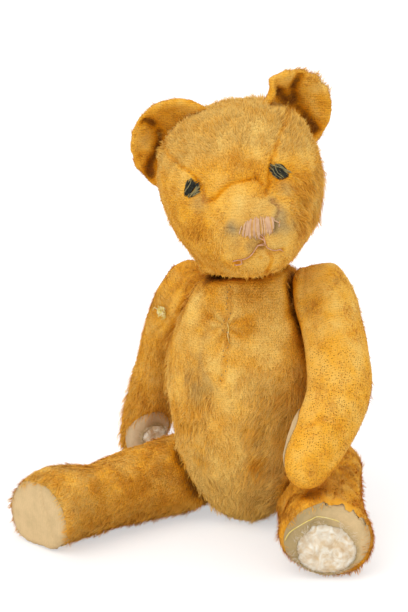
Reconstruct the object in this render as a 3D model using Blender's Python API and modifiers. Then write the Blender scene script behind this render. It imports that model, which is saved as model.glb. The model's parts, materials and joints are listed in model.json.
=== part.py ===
"""A worn jointed mohair teddy bear, sitting with one paw over its thigh.

Head, torso, two arms and two legs are plush covers round a filling. The head and each limb
turn on a disc joint: two board discs, two washers and a split pin on one axis.

Metres, +Z up. The bear faces -Y, its left side is +X, and its seat is at the origin.
"""

import math

import bmesh
import bpy
from mathutils import Matrix, Vector

# Cloth and clearances
CLOTH = 0.0015  # plush backing with its worn pile
PAD_CLOTH = 0.0012
THREAD = 0.0011  # height of the face's stitches
GAP = 0.0003  # between pieces that touch
STUFFING_INSET = 0.0023
JOINT_GAP = 0.0004  # each cover stands this far off its joint's plane

# Torso
TORSO_HEIGHT = 0.158
TORSO_HALF_WIDTH = 0.050
TORSO_HALF_DEPTH = 0.0455
TORSO_LEAN = 2.0  # degrees, towards its right
TORSO_TILT = 6.0  # degrees that its shoulders drop on its right

# Head: turned to its left, chin raised, leaning to its right, in degrees
HEAD_HALF_WIDTH = 0.0515
HEAD_HALF_HEIGHT = 0.0545
SNOUT_ASIDE = 0.0058  # its snout has slumped to its left
HEAD_CENTRE = Vector((-0.0070, -0.0060, 0.2095))
HEAD_TURN = 15.0
HEAD_NOD = -6.0
HEAD_LEAN = 11.0

# Face stitches, in the head's frame
EYE_APART = 0.052
EYE_SHIFT = -0.003  # towards its right
EYE_RISE = 0.0105
EYE_SLANT = 0.0012  # the right eye sits this much higher than the middle
EYE_WIDTH = 0.0105
EYE_HEIGHT = 0.0085
NOSE_RISE = -0.0095
NOSE_WIDTH = 0.026
NOSE_HEIGHT = 0.010
MOUTH_DROP = 0.009
MOUTH_WIDTH = 0.022
MOUTH_THREAD = 0.0022

# Ears
EAR_RADIUS = 0.0275
EAR_CLOTH = 0.0045
EAR_CUP = 0.009

# Limbs
ARM_HALF_WIDTH = 0.0235
ARM_HALF_THICKNESS = 0.0192
ARM_LENGTH = 0.126  # shoulder pin to paw tip
LEG_HALF_HEIGHT = 0.0247
LEG_HALF_THICKNESS = 0.0265
LEG_LENGTH = 0.102  # hip pin to sole
PRESSED = 0.82  # share of its half-thickness from a limb's middle to its joint's plane

# Pads
PAW_PAD_LENGTH = 0.042
PAW_PAD_WIDTH = 0.029
PAW_PAD_SHARE = 0.76  # where its middle lies along the arm
FOOT_PAD_WIDTH = 0.051
FOOT_PAD_HEIGHT = 0.044

# Disc joints
WIRE_RADIUS = 0.0008
PIN_HOLE_RADIUS = 0.0026
DISC_THICKNESS = 0.003
WASHER_THICKNESS = 0.001
WASHER_RADIUS = 0.008
NECK_DISC_RADIUS = 0.0165
SHOULDER_DISC_RADIUS = 0.0124
HIP_DISC_RADIUS = 0.0122

# Depths from a joint's plane, and the pocket for a pin
DISC_DEPTH = JOINT_GAP + CLOTH + GAP
PLATE_DEPTH = DISC_DEPTH + DISC_THICKNESS + GAP + WASHER_THICKNESS
POCKET_DEPTH = PLATE_DEPTH + 0.010
POCKET_RADIUS = 0.0092

PLUSH = ("mohair_plush", (0.72, 0.42, 0.11), 0.95)
PAD = ("pad_cloth", (0.66, 0.52, 0.34), 0.95)
FILLING = ("kapok_filling", (0.86, 0.80, 0.68), 1.0)
BOARD = ("millboard", (0.36, 0.27, 0.18), 0.85)
STEEL = ("steel_wire", (0.45, 0.44, 0.42), 0.4)
DARK_THREAD = ("dark_thread", (0.05, 0.06, 0.07), 0.8)
ROSE_THREAD = ("rose_thread", (0.68, 0.44, 0.32), 0.8)


# ---------------------------------------------------------------- scene and materials


def clear_scene():
    for obj in list(bpy.data.objects):
        bpy.data.objects.remove(obj)
    for collection in list(bpy.data.collections):
        bpy.data.collections.remove(collection)


def new_collection(name):
    collection = bpy.data.collections.new(name)
    bpy.context.scene.collection.children.link(collection)
    return collection


def material(finish):
    """The Principled material of a (name, colour, roughness) finish, made once."""
    name, colour, roughness = finish
    found = bpy.data.materials.get(name)
    if found:
        return found
    made = bpy.data.materials.new(name)
    made.use_nodes = True
    shader = made.node_tree.nodes["Principled BSDF"]
    shader.inputs["Base Color"].default_value = (*colour, 1.0)
    shader.inputs["Roughness"].default_value = roughness
    shader.inputs["Metallic"].default_value = 1.0 if finish is STEEL else 0.0
    return made


def add_object(name, data, finish=None):
    """An object in the bear's collection, or with no finish a helper in the guides'."""
    obj = bpy.data.objects.new(name, data)
    if finish is None:
        GUIDES.objects.link(obj)
        obj.hide_render = True
        obj.display_type = "WIRE"
        return obj
    BEAR.objects.link(obj)
    data.materials.append(material(finish))
    if isinstance(data, bpy.types.Mesh):
        data.shade_smooth()
        data.set_sharp_from_angle(angle=math.radians(50))
    return obj


def hang_from(joint, place, pieces):
    """Parents pieces, where they stand, to an empty on their joint's axis."""
    pivot = bpy.data.objects.new(f"{joint}_axis", None)
    BEAR.objects.link(pivot)
    pivot.empty_display_size = 0.02
    pivot.matrix_world = place
    for piece in pieces:
        piece.parent = pivot
        piece.matrix_parent_inverse = place.inverted()


def evaluated_copy(obj):
    """The object's mesh with its modifiers applied."""
    bpy.context.view_layer.update()
    graph = bpy.context.evaluated_depsgraph_get()
    return bpy.data.meshes.new_from_object(obj.evaluated_get(graph))


# ---------------------------------------------------------------- soft forms


def oval(centre, across, up, square=2.0, egg=0.0, count=12):
    """The points of an oval section. Past 2, square fills its corners. egg widens its top."""
    points = []
    for step in range(count):
        angle = 2 * math.pi * (step + 0.5) / count
        c, s = math.cos(angle), math.sin(angle)
        c = math.copysign(abs(c) ** (2 / square), c)
        s = math.copysign(abs(s) ** (2 / square), s)
        points.append(centre + across * c * (1 + egg * s) + up * s)
    return points


def soft_form(name, sections):
    """A closed soft mesh lofted through its sections, smoothed once."""
    mesh = bpy.data.meshes.new(name)
    bm = bmesh.new()
    rings = [[bm.verts.new(point) for point in section] for section in sections]
    count = len(rings[0])
    for near, far in zip(rings, rings[1:]):
        for i in range(count):
            j = (i + 1) % count
            bm.faces.new((near[i], near[j], far[j], far[i]))
    bm.faces.new(rings[0])
    bm.faces.new(rings[-1])
    bmesh.ops.recalc_face_normals(bm, faces=bm.faces)
    bm.to_mesh(mesh)
    bm.free()
    cage = add_object(name, mesh)
    smooth = cage.modifiers.new("smooth", "SUBSURF")
    smooth.levels = smooth.render_levels = 1
    form = evaluated_copy(cage)
    bpy.data.objects.remove(cage)
    return form


def smoothstep(low, high, value):
    t = min(1.0, max(0.0, (value - low) / (high - low)))
    return t * t * (3 - 2 * t)


def press_flat(mesh, point, normal, along=None, start=0.0, fade=0.012):
    """Presses what stands out past a plane back onto it, fading out behind start along it."""
    for vertex in mesh.vertices:
        beyond = (vertex.co - point).dot(normal)
        if beyond > 0:
            share = 1.0
            if along is not None:
                share = smoothstep(start - fade, start, (vertex.co - point).dot(along))
            vertex.co -= normal * beyond * share
    mesh.update()


def seat_flat(mesh, point, normal, radius):
    """Draws the surface round a joint flat onto its plane, fading out past the radius."""
    for vertex in mesh.vertices:
        offset = vertex.co - point
        height = offset.dot(normal)
        aside = (offset - normal * height).length
        share = 1 - smoothstep(radius, radius + 0.010, aside)
        share *= 1 - smoothstep(0.014, 0.022, abs(height))
        vertex.co -= normal * height * share
    mesh.update()


def split_faces(mesh):
    """Makes the faces triangles, so that the cloth and what lies under it bend alike."""
    bm = bmesh.new()
    bm.from_mesh(mesh)
    bmesh.ops.triangulate(bm, faces=bm.faces, quad_method="SHORT_EDGE")
    bm.to_mesh(mesh)
    bm.free()


def cover_of(name, form, finish=None, thickness=CLOTH):
    """The form's cloth, its thickness inwards."""
    cover = add_object(name, form.copy(), finish or PLUSH)
    shell = cover.modifiers.new("cloth", "SOLIDIFY")
    shell.thickness = thickness
    shell.offset = -1
    return cover


def filling_of(name, form):
    """The stuffing under the form's cloth."""
    filling = add_object(name, form.copy(), FILLING)
    inset = filling.modifiers.new("inset", "DISPLACE")
    inset.mid_level = 0
    inset.strength = -STUFFING_INSET
    return filling


# ---------------------------------------------------------------- cutters


def frame_on(point, axis):
    """The matrix that takes local Z to the axis and the origin to the point."""
    turn = axis.to_track_quat("Z", "Y").to_matrix().to_4x4()
    return Matrix.Translation(point) @ turn


def cylinder_mesh(name, radius, low, high, sides=24, oval_by=1.0):
    """A cylinder about local Z from low to high, its local Y stretched by oval_by."""
    bm = bmesh.new()
    bmesh.ops.create_cone(
        bm, cap_ends=True, segments=sides, radius1=radius, radius2=radius, depth=high - low
    )
    place = Matrix.Translation((0, 0, (low + high) / 2))
    stretch = Matrix.Diagonal((1.0, oval_by, 1.0, 1.0))
    bmesh.ops.transform(bm, matrix=place @ stretch, verts=bm.verts)
    mesh = bpy.data.meshes.new(name)
    bm.to_mesh(mesh)
    bm.free()
    return mesh


def cut(target, mesh, matrix, operation="DIFFERENCE"):
    """Cuts the target with a helper of this mesh and place."""
    cutter = add_object(f"{target.name}_cutter", mesh)
    cutter.matrix_world = matrix
    boolean = target.modifiers.new(operation.lower(), "BOOLEAN")
    boolean.operation = operation
    boolean.object = cutter


def outline_mesh(name, outline, low, high):
    """A prism from a closed outline in local X and Y, from low to high."""
    mesh = bpy.data.meshes.new(name)
    bm = bmesh.new()
    base = bm.faces.new([bm.verts.new((x, y, low)) for x, y in outline])
    swept = bmesh.ops.extrude_face_region(bm, geom=[base])["geom"]
    top = [item for item in swept if isinstance(item, bmesh.types.BMVert)]
    bmesh.ops.translate(bm, verts=top, vec=(0, 0, high - low))
    bmesh.ops.recalc_face_normals(bm, faces=bm.faces)
    bm.to_mesh(mesh)
    bm.free()
    return mesh


def ellipse(across, up, sides=24, centre=(0.0, 0.0)):
    turn = 2 * math.pi / sides
    return [
        (centre[0] + across * math.cos(turn * i), centre[1] + up * math.sin(turn * i))
        for i in range(sides)
    ]


def fitted_pad(name, cover, form, place, outline, low, high):
    """Opens the cover along an outline and fits a pad of its own cloth in the opening."""
    cut(cover, outline_mesh("opening", outline, low, high), place)
    pad = cover_of(name, form, PAD, PAD_CLOTH)
    inner = []
    for x, y in outline:
        shrink = 1 - GAP / math.hypot(x, y)
        inner.append((x * shrink, y * shrink))
    cut(pad, outline_mesh("inside", inner, low + GAP, high - GAP), place, "INTERSECT")
    return pad


def raised_patch(name, form, place, outline, finish):
    """A low patch of stitches lying on the front of the form, inside an outline."""
    patch = add_object(name, form.copy(), finish)
    lift = patch.modifiers.new("lift", "DISPLACE")
    lift.mid_level = 0
    lift.strength = 2 * GAP + THREAD
    stitches = patch.modifiers.new("stitches", "SOLIDIFY")
    stitches.thickness = THREAD
    stitches.offset = -1
    cut(patch, outline_mesh("outline", outline, 0.0, 2 * HEAD_HALF_WIDTH), place, "INTERSECT")
    return patch


# ---------------------------------------------------------------- disc joints


def split_pin_path():
    """The pin's wire in its joint's plane, as (aside, along): curl, leg, eye, leg, curl."""
    leg = WIRE_RADIUS + 0.00015
    curl_radius, eye_radius = 0.003, 0.0032
    curl_start = PLATE_DEPTH + 0.0022
    first = math.asin(leg / eye_radius)
    eye_centre = -(PLATE_DEPTH + 0.0016) - eye_radius * math.cos(first)
    curl = []
    for step in range(6):
        angle = math.radians(200) * (1 - step / 5)
        aside = leg + curl_radius * (1 - math.cos(angle))
        curl.append((aside, curl_start + curl_radius * math.sin(angle)))
    eye = []
    for step in range(9):
        angle = first + (2 * math.pi - 2 * first) * step / 8
        eye.append((eye_radius * math.sin(angle), eye_centre - eye_radius * math.cos(angle)))
    eye = [(aside, 2 * eye_centre - along) for aside, along in eye]
    back = [(-aside, along) for aside, along in reversed(curl)]
    return curl + eye + back


def plate(name, place, radius, low, high, finish, sides):
    """A disc or washer with its pin hole, from low to high along its joint's axis."""
    disc = add_object(name, cylinder_mesh(name, radius, low, high, sides), finish)
    disc.matrix_world = place
    cut(disc, cylinder_mesh("bore", PIN_HOLE_RADIUS, low - 0.001, high + 0.001, 8), place)
    return disc


def split_pin(name, place):
    curve = bpy.data.curves.new(name, "CURVE")
    curve.dimensions = "3D"
    curve.bevel_depth = WIRE_RADIUS
    curve.bevel_resolution = 1
    curve.use_fill_caps = True
    path = split_pin_path()
    spline = curve.splines.new("POLY")
    spline.points.add(len(path) - 1)
    for point, (aside, along) in zip(spline.points, path):
        point.co = (aside, 0.0, along, 1.0)
    obj = add_object(name, curve, STEEL)
    obj.matrix_world = place


def disc_joint(name, point, axis, radius, torso, limb):
    """One joint's hardware, its holes in both covers and its pockets in both fillings.

    The axis points from the torso into the limb. torso and limb are (cover, filling). It
    returns the disc and washer that turn with the limb."""
    place = frame_on(point, axis)
    turning = []
    for side, sign, (cover, filling) in (("inner", -1, torso), ("outer", 1, limb)):
        low, high = sorted((sign * DISC_DEPTH, sign * (DISC_DEPTH + DISC_THICKNESS)))
        disc = plate(f"{name}_disc_{side}", place, radius, low, high, BOARD, 18)
        low, high = sorted((sign * (PLATE_DEPTH - WASHER_THICKNESS), sign * PLATE_DEPTH))
        washer = plate(f"{name}_washer_{side}", place, WASHER_RADIUS, low, high, STEEL, 10)
        if side == "outer":
            turning = [disc, washer]
        hole = sorted((-sign * 0.002, sign * 0.004))
        cut(cover, cylinder_mesh("pin_hole", PIN_HOLE_RADIUS, *hole, 8), place)
        seat = sorted((-sign * 0.004, sign * (DISC_DEPTH + DISC_THICKNESS + GAP)))
        cut(filling, cylinder_mesh("disc_seat", radius + 0.0009, *seat, 16), place)
        pocket = sorted((-sign * 0.003, sign * POCKET_DEPTH))
        cut(filling, cylinder_mesh("pin_pocket", POCKET_RADIUS, *pocket, 10), place)
    split_pin(f"{name}_split_pin", place)
    return turning


# ---------------------------------------------------------------- torso


def torso_form():
    """A long egg, narrow at the crotch, with a rounded back and a flat seat."""
    # height, half-width, half-depth and shift to the back, as shares of the torso's sizes
    stations = (
        (-0.02, 0.30, 0.46, 0.06),
        (0.03, 0.50, 0.74, 0.04),
        (0.14, 0.72, 0.94, 0.02),
        (0.34, 1.03, 1.08, -0.05),
        (0.56, 1.09, 1.08, 0.0),
        (0.76, 0.98, 0.98, 0.06),
        (0.91, 0.78, 0.80, 0.08),
        (0.985, 0.52, 0.56, 0.07),
        (1.01, 0.28, 0.32, 0.05),
    )
    lean = math.tan(math.radians(-TORSO_LEAN))
    sections = []
    for height, wide, deep, shift in stations:
        tilt = math.radians(TORSO_TILT) * height
        z = height * TORSO_HEIGHT
        across = Vector((math.cos(tilt), 0, math.sin(tilt))) * wide * TORSO_HALF_WIDTH
        centre = Vector((z * lean, shift * TORSO_HALF_DEPTH, z))
        deepness = Vector((0, deep * TORSO_HALF_DEPTH, 0))
        sections.append(oval(centre, across, deepness, square=2.15, count=12))
    return soft_form("torso_form", sections)


# ---------------------------------------------------------------- head


def head_matrix():
    """The head's own frame: X to its left, -Y forward, Z to its crown."""
    turn = Matrix.Rotation(math.radians(HEAD_TURN), 4, "Z")
    nod = Matrix.Rotation(math.radians(HEAD_NOD), 4, "X")
    lean = Matrix.Rotation(math.radians(-HEAD_LEAN), 4, "Y")
    return Matrix.Translation(HEAD_CENTRE) @ turn @ lean @ nod


def head_form():
    """A round head drawn out into a short snout, lofted from the back to the nose."""
    w, h = HEAD_HALF_WIDTH, HEAD_HALF_HEIGHT
    # forward, aside, half-width, half-height, rise and egg shape of each section
    stations = (
        (-0.050, 0.000, 0.34 * w, 0.34 * h, 0.000, 0.00),
        (-0.043, 0.000, 0.70 * w, 0.70 * h, 0.000, 0.03),
        (-0.022, 0.001, 0.95 * w, 0.97 * h, 0.000, 0.08),
        (0.008, 0.0015, 1.045 * w, 1.06 * h, 0.000, 0.12),
        (0.030, 0.0015, 0.92 * w, 0.95 * h, -0.002, 0.14),
        (0.042, 0.001, 0.74 * w, 0.78 * h, -0.008, 0.10),
        (0.049, 0.003, 0.0300, 0.0310, -0.016, 0.00),
        (0.057, 0.0045, 0.0250, 0.0245, -0.0215, -0.05),
        (0.066, 0.0055, 0.0215, 0.0205, -0.0230, -0.05),
        (0.071, 0.0060, 0.0120, 0.0110, -0.0230, 0.00),
    )
    sections = [
        oval(
            Vector((aside, -forward, rise)),
            Vector((wide, 0, 0)),
            Vector((0, 0, high)),
            square=2.2,
            egg=egg,
            count=12,
        )
        for forward, aside, wide, high, rise, egg in stations
    ]
    form = soft_form("head_form", sections)
    form.transform(head_matrix())
    return form


def ear(name, side, centre, lie, twist, radius, form):
    """A cupped disc of plush whose lower half the head's surface cuts away.

    centre is in the head's frame, lie the way the ear stands from straight up, in degrees,
    and twist how far its hollow turns outwards."""
    rings, sides = 3, 16
    bm = bmesh.new()
    middle = bm.verts.new((0, 0, 0))
    last = None
    for ring in range(1, rings + 1):
        r = radius * ring / rings
        cup = EAR_CUP * (ring / rings) ** 2
        verts = []
        for i in range(sides):
            angle = 2 * math.pi * i / sides
            verts.append(bm.verts.new((r * math.cos(angle), -cup, r * math.sin(angle))))
        for i in range(sides):
            j = (i + 1) % sides
            if last is None:
                bm.faces.new((middle, verts[j], verts[i]))
            else:
                bm.faces.new((last[i], last[j], verts[j], verts[i]))
        last = verts
    bmesh.ops.recalc_face_normals(bm, faces=bm.faces)
    mesh = bpy.data.meshes.new(name)
    bm.to_mesh(mesh)
    bm.free()
    obj = add_object(name, mesh, PLUSH)
    tip = Matrix.Rotation(math.radians(side * lie), 4, "Y")
    hollow = Matrix.Rotation(math.radians(side * twist), 4, "Z")
    place = Matrix.Translation((side * centre[0], centre[1], centre[2]))
    mesh.transform(head_matrix() @ place @ tip @ hollow)
    cloth = obj.modifiers.new("cloth", "SOLIDIFY")
    cloth.thickness = EAR_CLOTH
    cloth.offset = 0
    soft = obj.modifiers.new("soft", "BEVEL")
    soft.width = 0.0012
    soft.segments = 1
    soft.limit_method = "ANGLE"
    grown = add_object(f"{name}_base", form.copy())
    grow = grown.modifiers.new("grow", "DISPLACE")
    grow.mid_level = 0
    grow.strength = GAP
    base = bpy.data.meshes.new_from_object(
        grown.evaluated_get(bpy.context.evaluated_depsgraph_get())
    )
    bpy.data.objects.remove(grown)
    cut(obj, base, Matrix.Identity(4))
    return obj


def face_matrix(x, z):
    """A frame on the face at x and z in the head's frame, its local Z pointing out of it."""
    turn = Matrix.Rotation(math.radians(90), 4, "X")
    return head_matrix() @ Matrix.Translation((x, 0, z)) @ turn


def eye(name, side, form):
    """A worn eye of a few turns of thread."""
    outline = ellipse(EYE_WIDTH / 2, EYE_HEIGHT / 2, 16)
    place = face_matrix(side * EYE_APART / 2 + EYE_SHIFT, EYE_RISE - side * EYE_SLANT)
    return raised_patch(name, form, place, outline, DARK_THREAD)


def nose(form):
    outline = ellipse(NOSE_WIDTH / 2, NOSE_HEIGHT / 2, 20)
    place = face_matrix(SNOUT_ASIDE, NOSE_RISE)
    return raised_patch("nose_stitching", form, place, outline, ROSE_THREAD)


def mouth(form):
    """One stitch down from the nose, then one out and down to each side."""
    top = -NOSE_HEIGHT / 2 - 0.0006
    fork = top - MOUTH_DROP
    t = MOUTH_THREAD / 2
    w, d = MOUTH_WIDTH / 2, MOUTH_DROP * 0.55
    outline = [
        (-t, top), (-t, fork + t), (-w, fork - d + t), (-w, fork - d - t), (0, fork - 1.4 * t),
        (w, fork - d - t), (w, fork - d + t), (t, fork + t), (t, top),
    ]
    place = face_matrix(SNOUT_ASIDE, NOSE_RISE)
    return raised_patch("mouth_stitching", form, place, outline, ROSE_THREAD)


# ---------------------------------------------------------------- limbs


def direction(turn, rise=0.0):
    """A unit vector turned from -Y towards +X by turn, then raised by rise, in degrees."""
    turn, rise = math.radians(turn), math.radians(rise)
    flat = math.cos(rise)
    return Vector((math.sin(turn) * flat, -math.cos(turn) * flat, math.sin(rise)))


class Limb:
    """A limb's joint and pose.

    point and axis are its pin's, and along is the way the limb starts out. swing bends it in
    its joint's plane, forwards or up, and spread bends it away from that plane, in degrees. toe
    turns its end back towards the plane, and roll turns its pad round it, forwards."""

    def __init__(self, name, joint, point, axis, along, length, swing, spread, toe=0, roll=0):
        self.name = name
        self.joint = joint
        self.point = Vector(point)
        self.axis = axis.normalized()
        self.along = (along - self.axis * along.dot(self.axis)).normalized()
        self.length = length
        self.swing = swing
        self.spread = spread
        self.toe = toe
        self.roll = roll
        self.side = 1 if name.endswith("left") else -1
        self.is_arm = name.startswith("arm")
        self.disc_radius = SHOULDER_DISC_RADIUS if self.is_arm else HIP_DISC_RADIUS

    def matrix(self):
        """Local X along the limb, local Z along its axis, at its pin."""
        y = self.axis.cross(self.along)
        matrix = Matrix((self.along, y, self.axis)).transposed().to_4x4()
        matrix.translation = self.point
        return matrix

    def way(self, stations, share):
        """The direction of the limb's middle line, in its own frame."""
        bend = bend_at(stations, share)
        swing = -self.side * math.radians(self.swing * bend)
        spread = math.radians(self.spread * bend - self.toe * smoothstep(0.80, 0.98, share))
        return Vector((math.cos(swing), math.sin(swing), math.tan(spread))).normalized()

    def section_at(self, stations, half_thickness, share):
        """The place of a section: local X along the limb, local Z away from its joint."""
        steps = 24
        centre = Vector((0, 0, half_thickness * PRESSED))
        for step in range(steps):
            centre += self.way(stations, share * (step + 0.5) / steps) * share * self.length / steps
        way = self.way(stations, share)
        out = (Vector((0, 0, 1)) - way * way.z).normalized()
        matrix = Matrix((way, out.cross(way), out)).transposed().to_4x4()
        matrix.translation = centre
        return matrix

    def form(self, stations, half_width, half_thickness, square):
        """The limb lofted along its bent middle line through its stations."""
        sections = []
        for share, _, wide, thick in stations:
            place = self.section_at(stations, half_thickness, share)
            across = place.col[1].to_3d() * wide * half_width
            out = place.col[2].to_3d() * thick * half_thickness
            sections.append(oval(place.translation, across, out, square=square, count=8))
        form = soft_form(f"{self.name}_form", sections)
        form.transform(self.matrix())
        return form


def bend_at(stations, share):
    """The share of the bend at a share of the length, between the stations."""
    for (low, before, *_), (high, after, *_) in zip(stations, stations[1:]):
        if share <= high:
            return before + (after - before) * (share - low) / (high - low)
    return stations[-1][1]


# share of the length, share of the bend, width, thickness
ARM_STATIONS = (
    (-0.20, 0.0, 0.46, 0.46),
    (-0.14, 0.0, 0.88, 0.80),
    (0.02, 0.0, 1.12, 1.03),
    (0.24, 0.12, 1.15, 1.10),
    (0.43, 0.45, 1.12, 1.10),
    (0.60, 0.90, 1.01, 1.02),
    (0.82, 1.00, 0.92, 0.94),
    (0.95, 1.00, 0.66, 0.68),
    (1.00, 1.00, 0.30, 0.32),
)
LEG_STATIONS = (
    (-0.28, 0.0, 0.46, 0.44),
    (-0.19, 0.0, 0.94, 0.74),
    (0.02, 0.0, 1.14, 0.84),
    (0.30, 0.50, 1.08, 0.90),
    (0.60, 0.92, 0.94, 1.00),
    (0.90, 1.00, 1.08, 1.24),
    (0.985, 1.00, 1.06, 1.22),
    (1.00, 1.00, 0.90, 1.00),
)
# Holes worn through two pads, as outlines on the pad
TEARS = {
    "leg_left": ((-0.013, -0.004), (-0.009, -0.015), (0.002, -0.016), (0.012, -0.012),
                 (0.014, -0.001), (0.009, 0.006), (0.001, 0.004), (-0.007, 0.006)),
    "arm_right": ((-0.012, -0.006), (-0.003, -0.009), (0.006, -0.007), (0.004, 0.001),
                  (-0.004, 0.003), (-0.011, 0.001)),
}
DOWN = Vector((0, 0, -1))
LIMBS = (
    Limb("arm_left", "shoulder_left", (0.033, -0.002, 0.1350), direction(82, 22),
         direction(0, -66), ARM_LENGTH, 40, -19, 0, 18),
    Limb("arm_right", "shoulder_right", (-0.034, 0.018, 0.1235), direction(-116, 24),
         direction(180, -76), ARM_LENGTH, 28, -10, 0, 45),
    Limb("leg_left", "hip_left", (0.0290, 0.004, 0.0335), direction(90, -24),
         direction(0, 3), LEG_LENGTH - 0.005, 0, 11),
    Limb("leg_right", "hip_right", (-0.0260, -0.0175, 0.0335), direction(-124, -25),
         direction(-34, 3), LEG_LENGTH + 0.003, 0, 16, 20),
)
NECK_POINT = Vector((-0.006, 0.003, 0.1555))
NECK_AXIS = (Matrix.Rotation(math.radians(-8), 3, "Y") @ Vector((0, 0.05, 1))).normalized()


def paw_pad(limb, cover, form):
    """The oval pad on the inner side of a paw."""
    place = limb.matrix() @ limb.section_at(ARM_STATIONS, ARM_HALF_THICKNESS, PAW_PAD_SHARE)
    place = place @ Matrix.Rotation(math.radians(-limb.side * limb.roll), 4, "X")
    outline = ellipse(PAW_PAD_LENGTH / 2, PAW_PAD_WIDTH / 2, 16)
    return fitted_pad(f"{limb.name}_paw_pad", cover, form, place, outline, -0.030, 0.0), place


def foot_pad(limb, cover, form):
    """The pad over the whole sole."""
    place = limb.matrix() @ limb.section_at(LEG_STATIONS, LEG_HALF_THICKNESS, 1.0)
    place = place @ Matrix.Rotation(math.radians(90), 4, "Y")
    outline = ellipse(FOOT_PAD_WIDTH / 2, FOOT_PAD_HEIGHT / 2, 18)
    return fitted_pad(f"{limb.name}_foot_pad", cover, form, place, outline, -0.016, 0.010), place


def pressed_torso():
    """The torso with a flat for its seat, its neck and each limb."""
    torso = torso_form()
    neck = NECK_POINT - NECK_AXIS * JOINT_GAP
    seat_flat(torso, neck, NECK_AXIS, NECK_DISC_RADIUS + 0.009)
    for limb in LIMBS:
        plane = limb.point - limb.axis * JOINT_GAP
        seat_flat(torso, plane, limb.axis, limb.disc_radius + 0.0120)
        press_flat(torso, plane, limb.axis, limb.along, -0.032)
    press_flat(torso, neck, NECK_AXIS)
    press_flat(torso, Vector((0, 0, 0)), DOWN)
    split_faces(torso)
    return torso


def pressed_limb(limb):
    """The limb with a flat at its joint and one where it rests on the ground."""
    if limb.is_arm:
        form = limb.form(ARM_STATIONS, ARM_HALF_WIDTH, ARM_HALF_THICKNESS, 2.2)
    else:
        form = limb.form(LEG_STATIONS, LEG_HALF_HEIGHT, LEG_HALF_THICKNESS, 2.4)
    plane = limb.point + limb.axis * JOINT_GAP
    seat_flat(form, plane, -limb.axis, limb.disc_radius + 0.0095)
    if limb.is_arm:
        press_flat(form, plane, -limb.axis, -limb.along, -0.045, 0.025)
    else:
        press_flat(form, plane, -limb.axis)
    press_flat(form, Vector((0, 0, 0)), DOWN)
    split_faces(form)
    return form


def build_torso():
    torso = pressed_torso()
    return cover_of("torso_cover", torso), filling_of("torso_filling", torso)


def build_head(torso_pair):
    head = head_form()
    neck = NECK_POINT + NECK_AXIS * JOINT_GAP
    seat_flat(head, neck, -NECK_AXIS, NECK_DISC_RADIUS + 0.0125)
    press_flat(head, neck, -NECK_AXIS)
    split_faces(head)
    pair = (cover_of("head_cover", head), filling_of("head_filling", head))
    turning = disc_joint("neck", NECK_POINT, NECK_AXIS, NECK_DISC_RADIUS, torso_pair, pair)
    pieces = [*pair, *turning, nose(head), mouth(head)]
    pieces.append(ear("ear_left", 1, (0.0355, 0.004, 0.0395), 48, 22, EAR_RADIUS - 0.001, head))
    pieces.append(ear("ear_right", -1, (0.0290, 0.004, 0.0328), 62, 12, EAR_RADIUS + 0.0013, head))
    pieces.append(eye("eye_left", 1, head))
    pieces.append(eye("eye_right", -1, head))
    hang_from("neck", frame_on(NECK_POINT, NECK_AXIS), pieces)


def build_limb(limb, torso_pair):
    form = pressed_limb(limb)
    pair = (cover_of(f"{limb.name}_cover", form), filling_of(f"{limb.name}_filling", form))
    turning = disc_joint(limb.joint, limb.point, limb.axis, limb.disc_radius, torso_pair, pair)
    pad, place = (paw_pad if limb.is_arm else foot_pad)(limb, pair[0], form)
    if limb.name in TEARS:
        cut(pad, outline_mesh("tear", TEARS[limb.name], -0.030, 0.030), place)
    hang_from(limb.joint, frame_on(limb.point, limb.axis), [*pair, *turning, pad])


clear_scene()
BEAR = new_collection("teddy_bear")
GUIDES = new_collection("guides")
torso_pieces = build_torso()
build_head(torso_pieces)
for bear_limb in LIMBS:
    build_limb(bear_limb, torso_pieces)
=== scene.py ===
"""Dresses the frame of a jointed bear: plush covers with their worn pile, pads, face, seams, stuffing.

Everything is in metres in the frame's own coordinates: +Z up, the bear faces -Y, its left is +X.
"""

import json
import math
import random

import bmesh
import bpy
import numpy as np
from mathutils import Matrix, Vector, noise
from mathutils.bvhtree import BVHTree
from mathutils.interpolate import poly_3d_calc


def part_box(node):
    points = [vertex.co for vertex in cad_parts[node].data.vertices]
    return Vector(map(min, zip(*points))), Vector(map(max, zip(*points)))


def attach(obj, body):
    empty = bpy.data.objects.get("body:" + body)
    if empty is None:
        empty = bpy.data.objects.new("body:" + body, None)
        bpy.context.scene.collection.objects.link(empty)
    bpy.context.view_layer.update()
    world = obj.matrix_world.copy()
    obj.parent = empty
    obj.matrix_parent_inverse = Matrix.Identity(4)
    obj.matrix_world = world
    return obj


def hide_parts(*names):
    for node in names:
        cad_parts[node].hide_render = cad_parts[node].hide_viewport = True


bl_info = {
    "name": "Threadbare bear",
    "version": (1, 0, 0),
    "blender": (4, 5, 0),
    "location": "3D View > Sidebar > Bear",
    "description": "Dresses a jointed mohair bear in worn plush, pads, stitches and stuffing",
    "category": "Object",
}

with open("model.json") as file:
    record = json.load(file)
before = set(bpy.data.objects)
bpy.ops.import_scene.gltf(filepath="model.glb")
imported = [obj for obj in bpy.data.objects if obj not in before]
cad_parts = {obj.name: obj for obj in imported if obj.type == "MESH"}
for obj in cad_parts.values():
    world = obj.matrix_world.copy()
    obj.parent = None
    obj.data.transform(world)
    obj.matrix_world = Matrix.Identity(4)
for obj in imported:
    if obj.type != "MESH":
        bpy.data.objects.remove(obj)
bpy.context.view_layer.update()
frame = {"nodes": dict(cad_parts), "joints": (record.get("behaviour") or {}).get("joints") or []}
NODES = frame["nodes"]

MM = 0.001
VOXEL = 1.4 * MM  # grid on which each cover's surface is laid before it is smoothed
EAR_VOXEL = 1.3 * MM
SMOOTH_ROUNDS = 28  # enough to lose the edges where a cover's nodes meet
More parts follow.
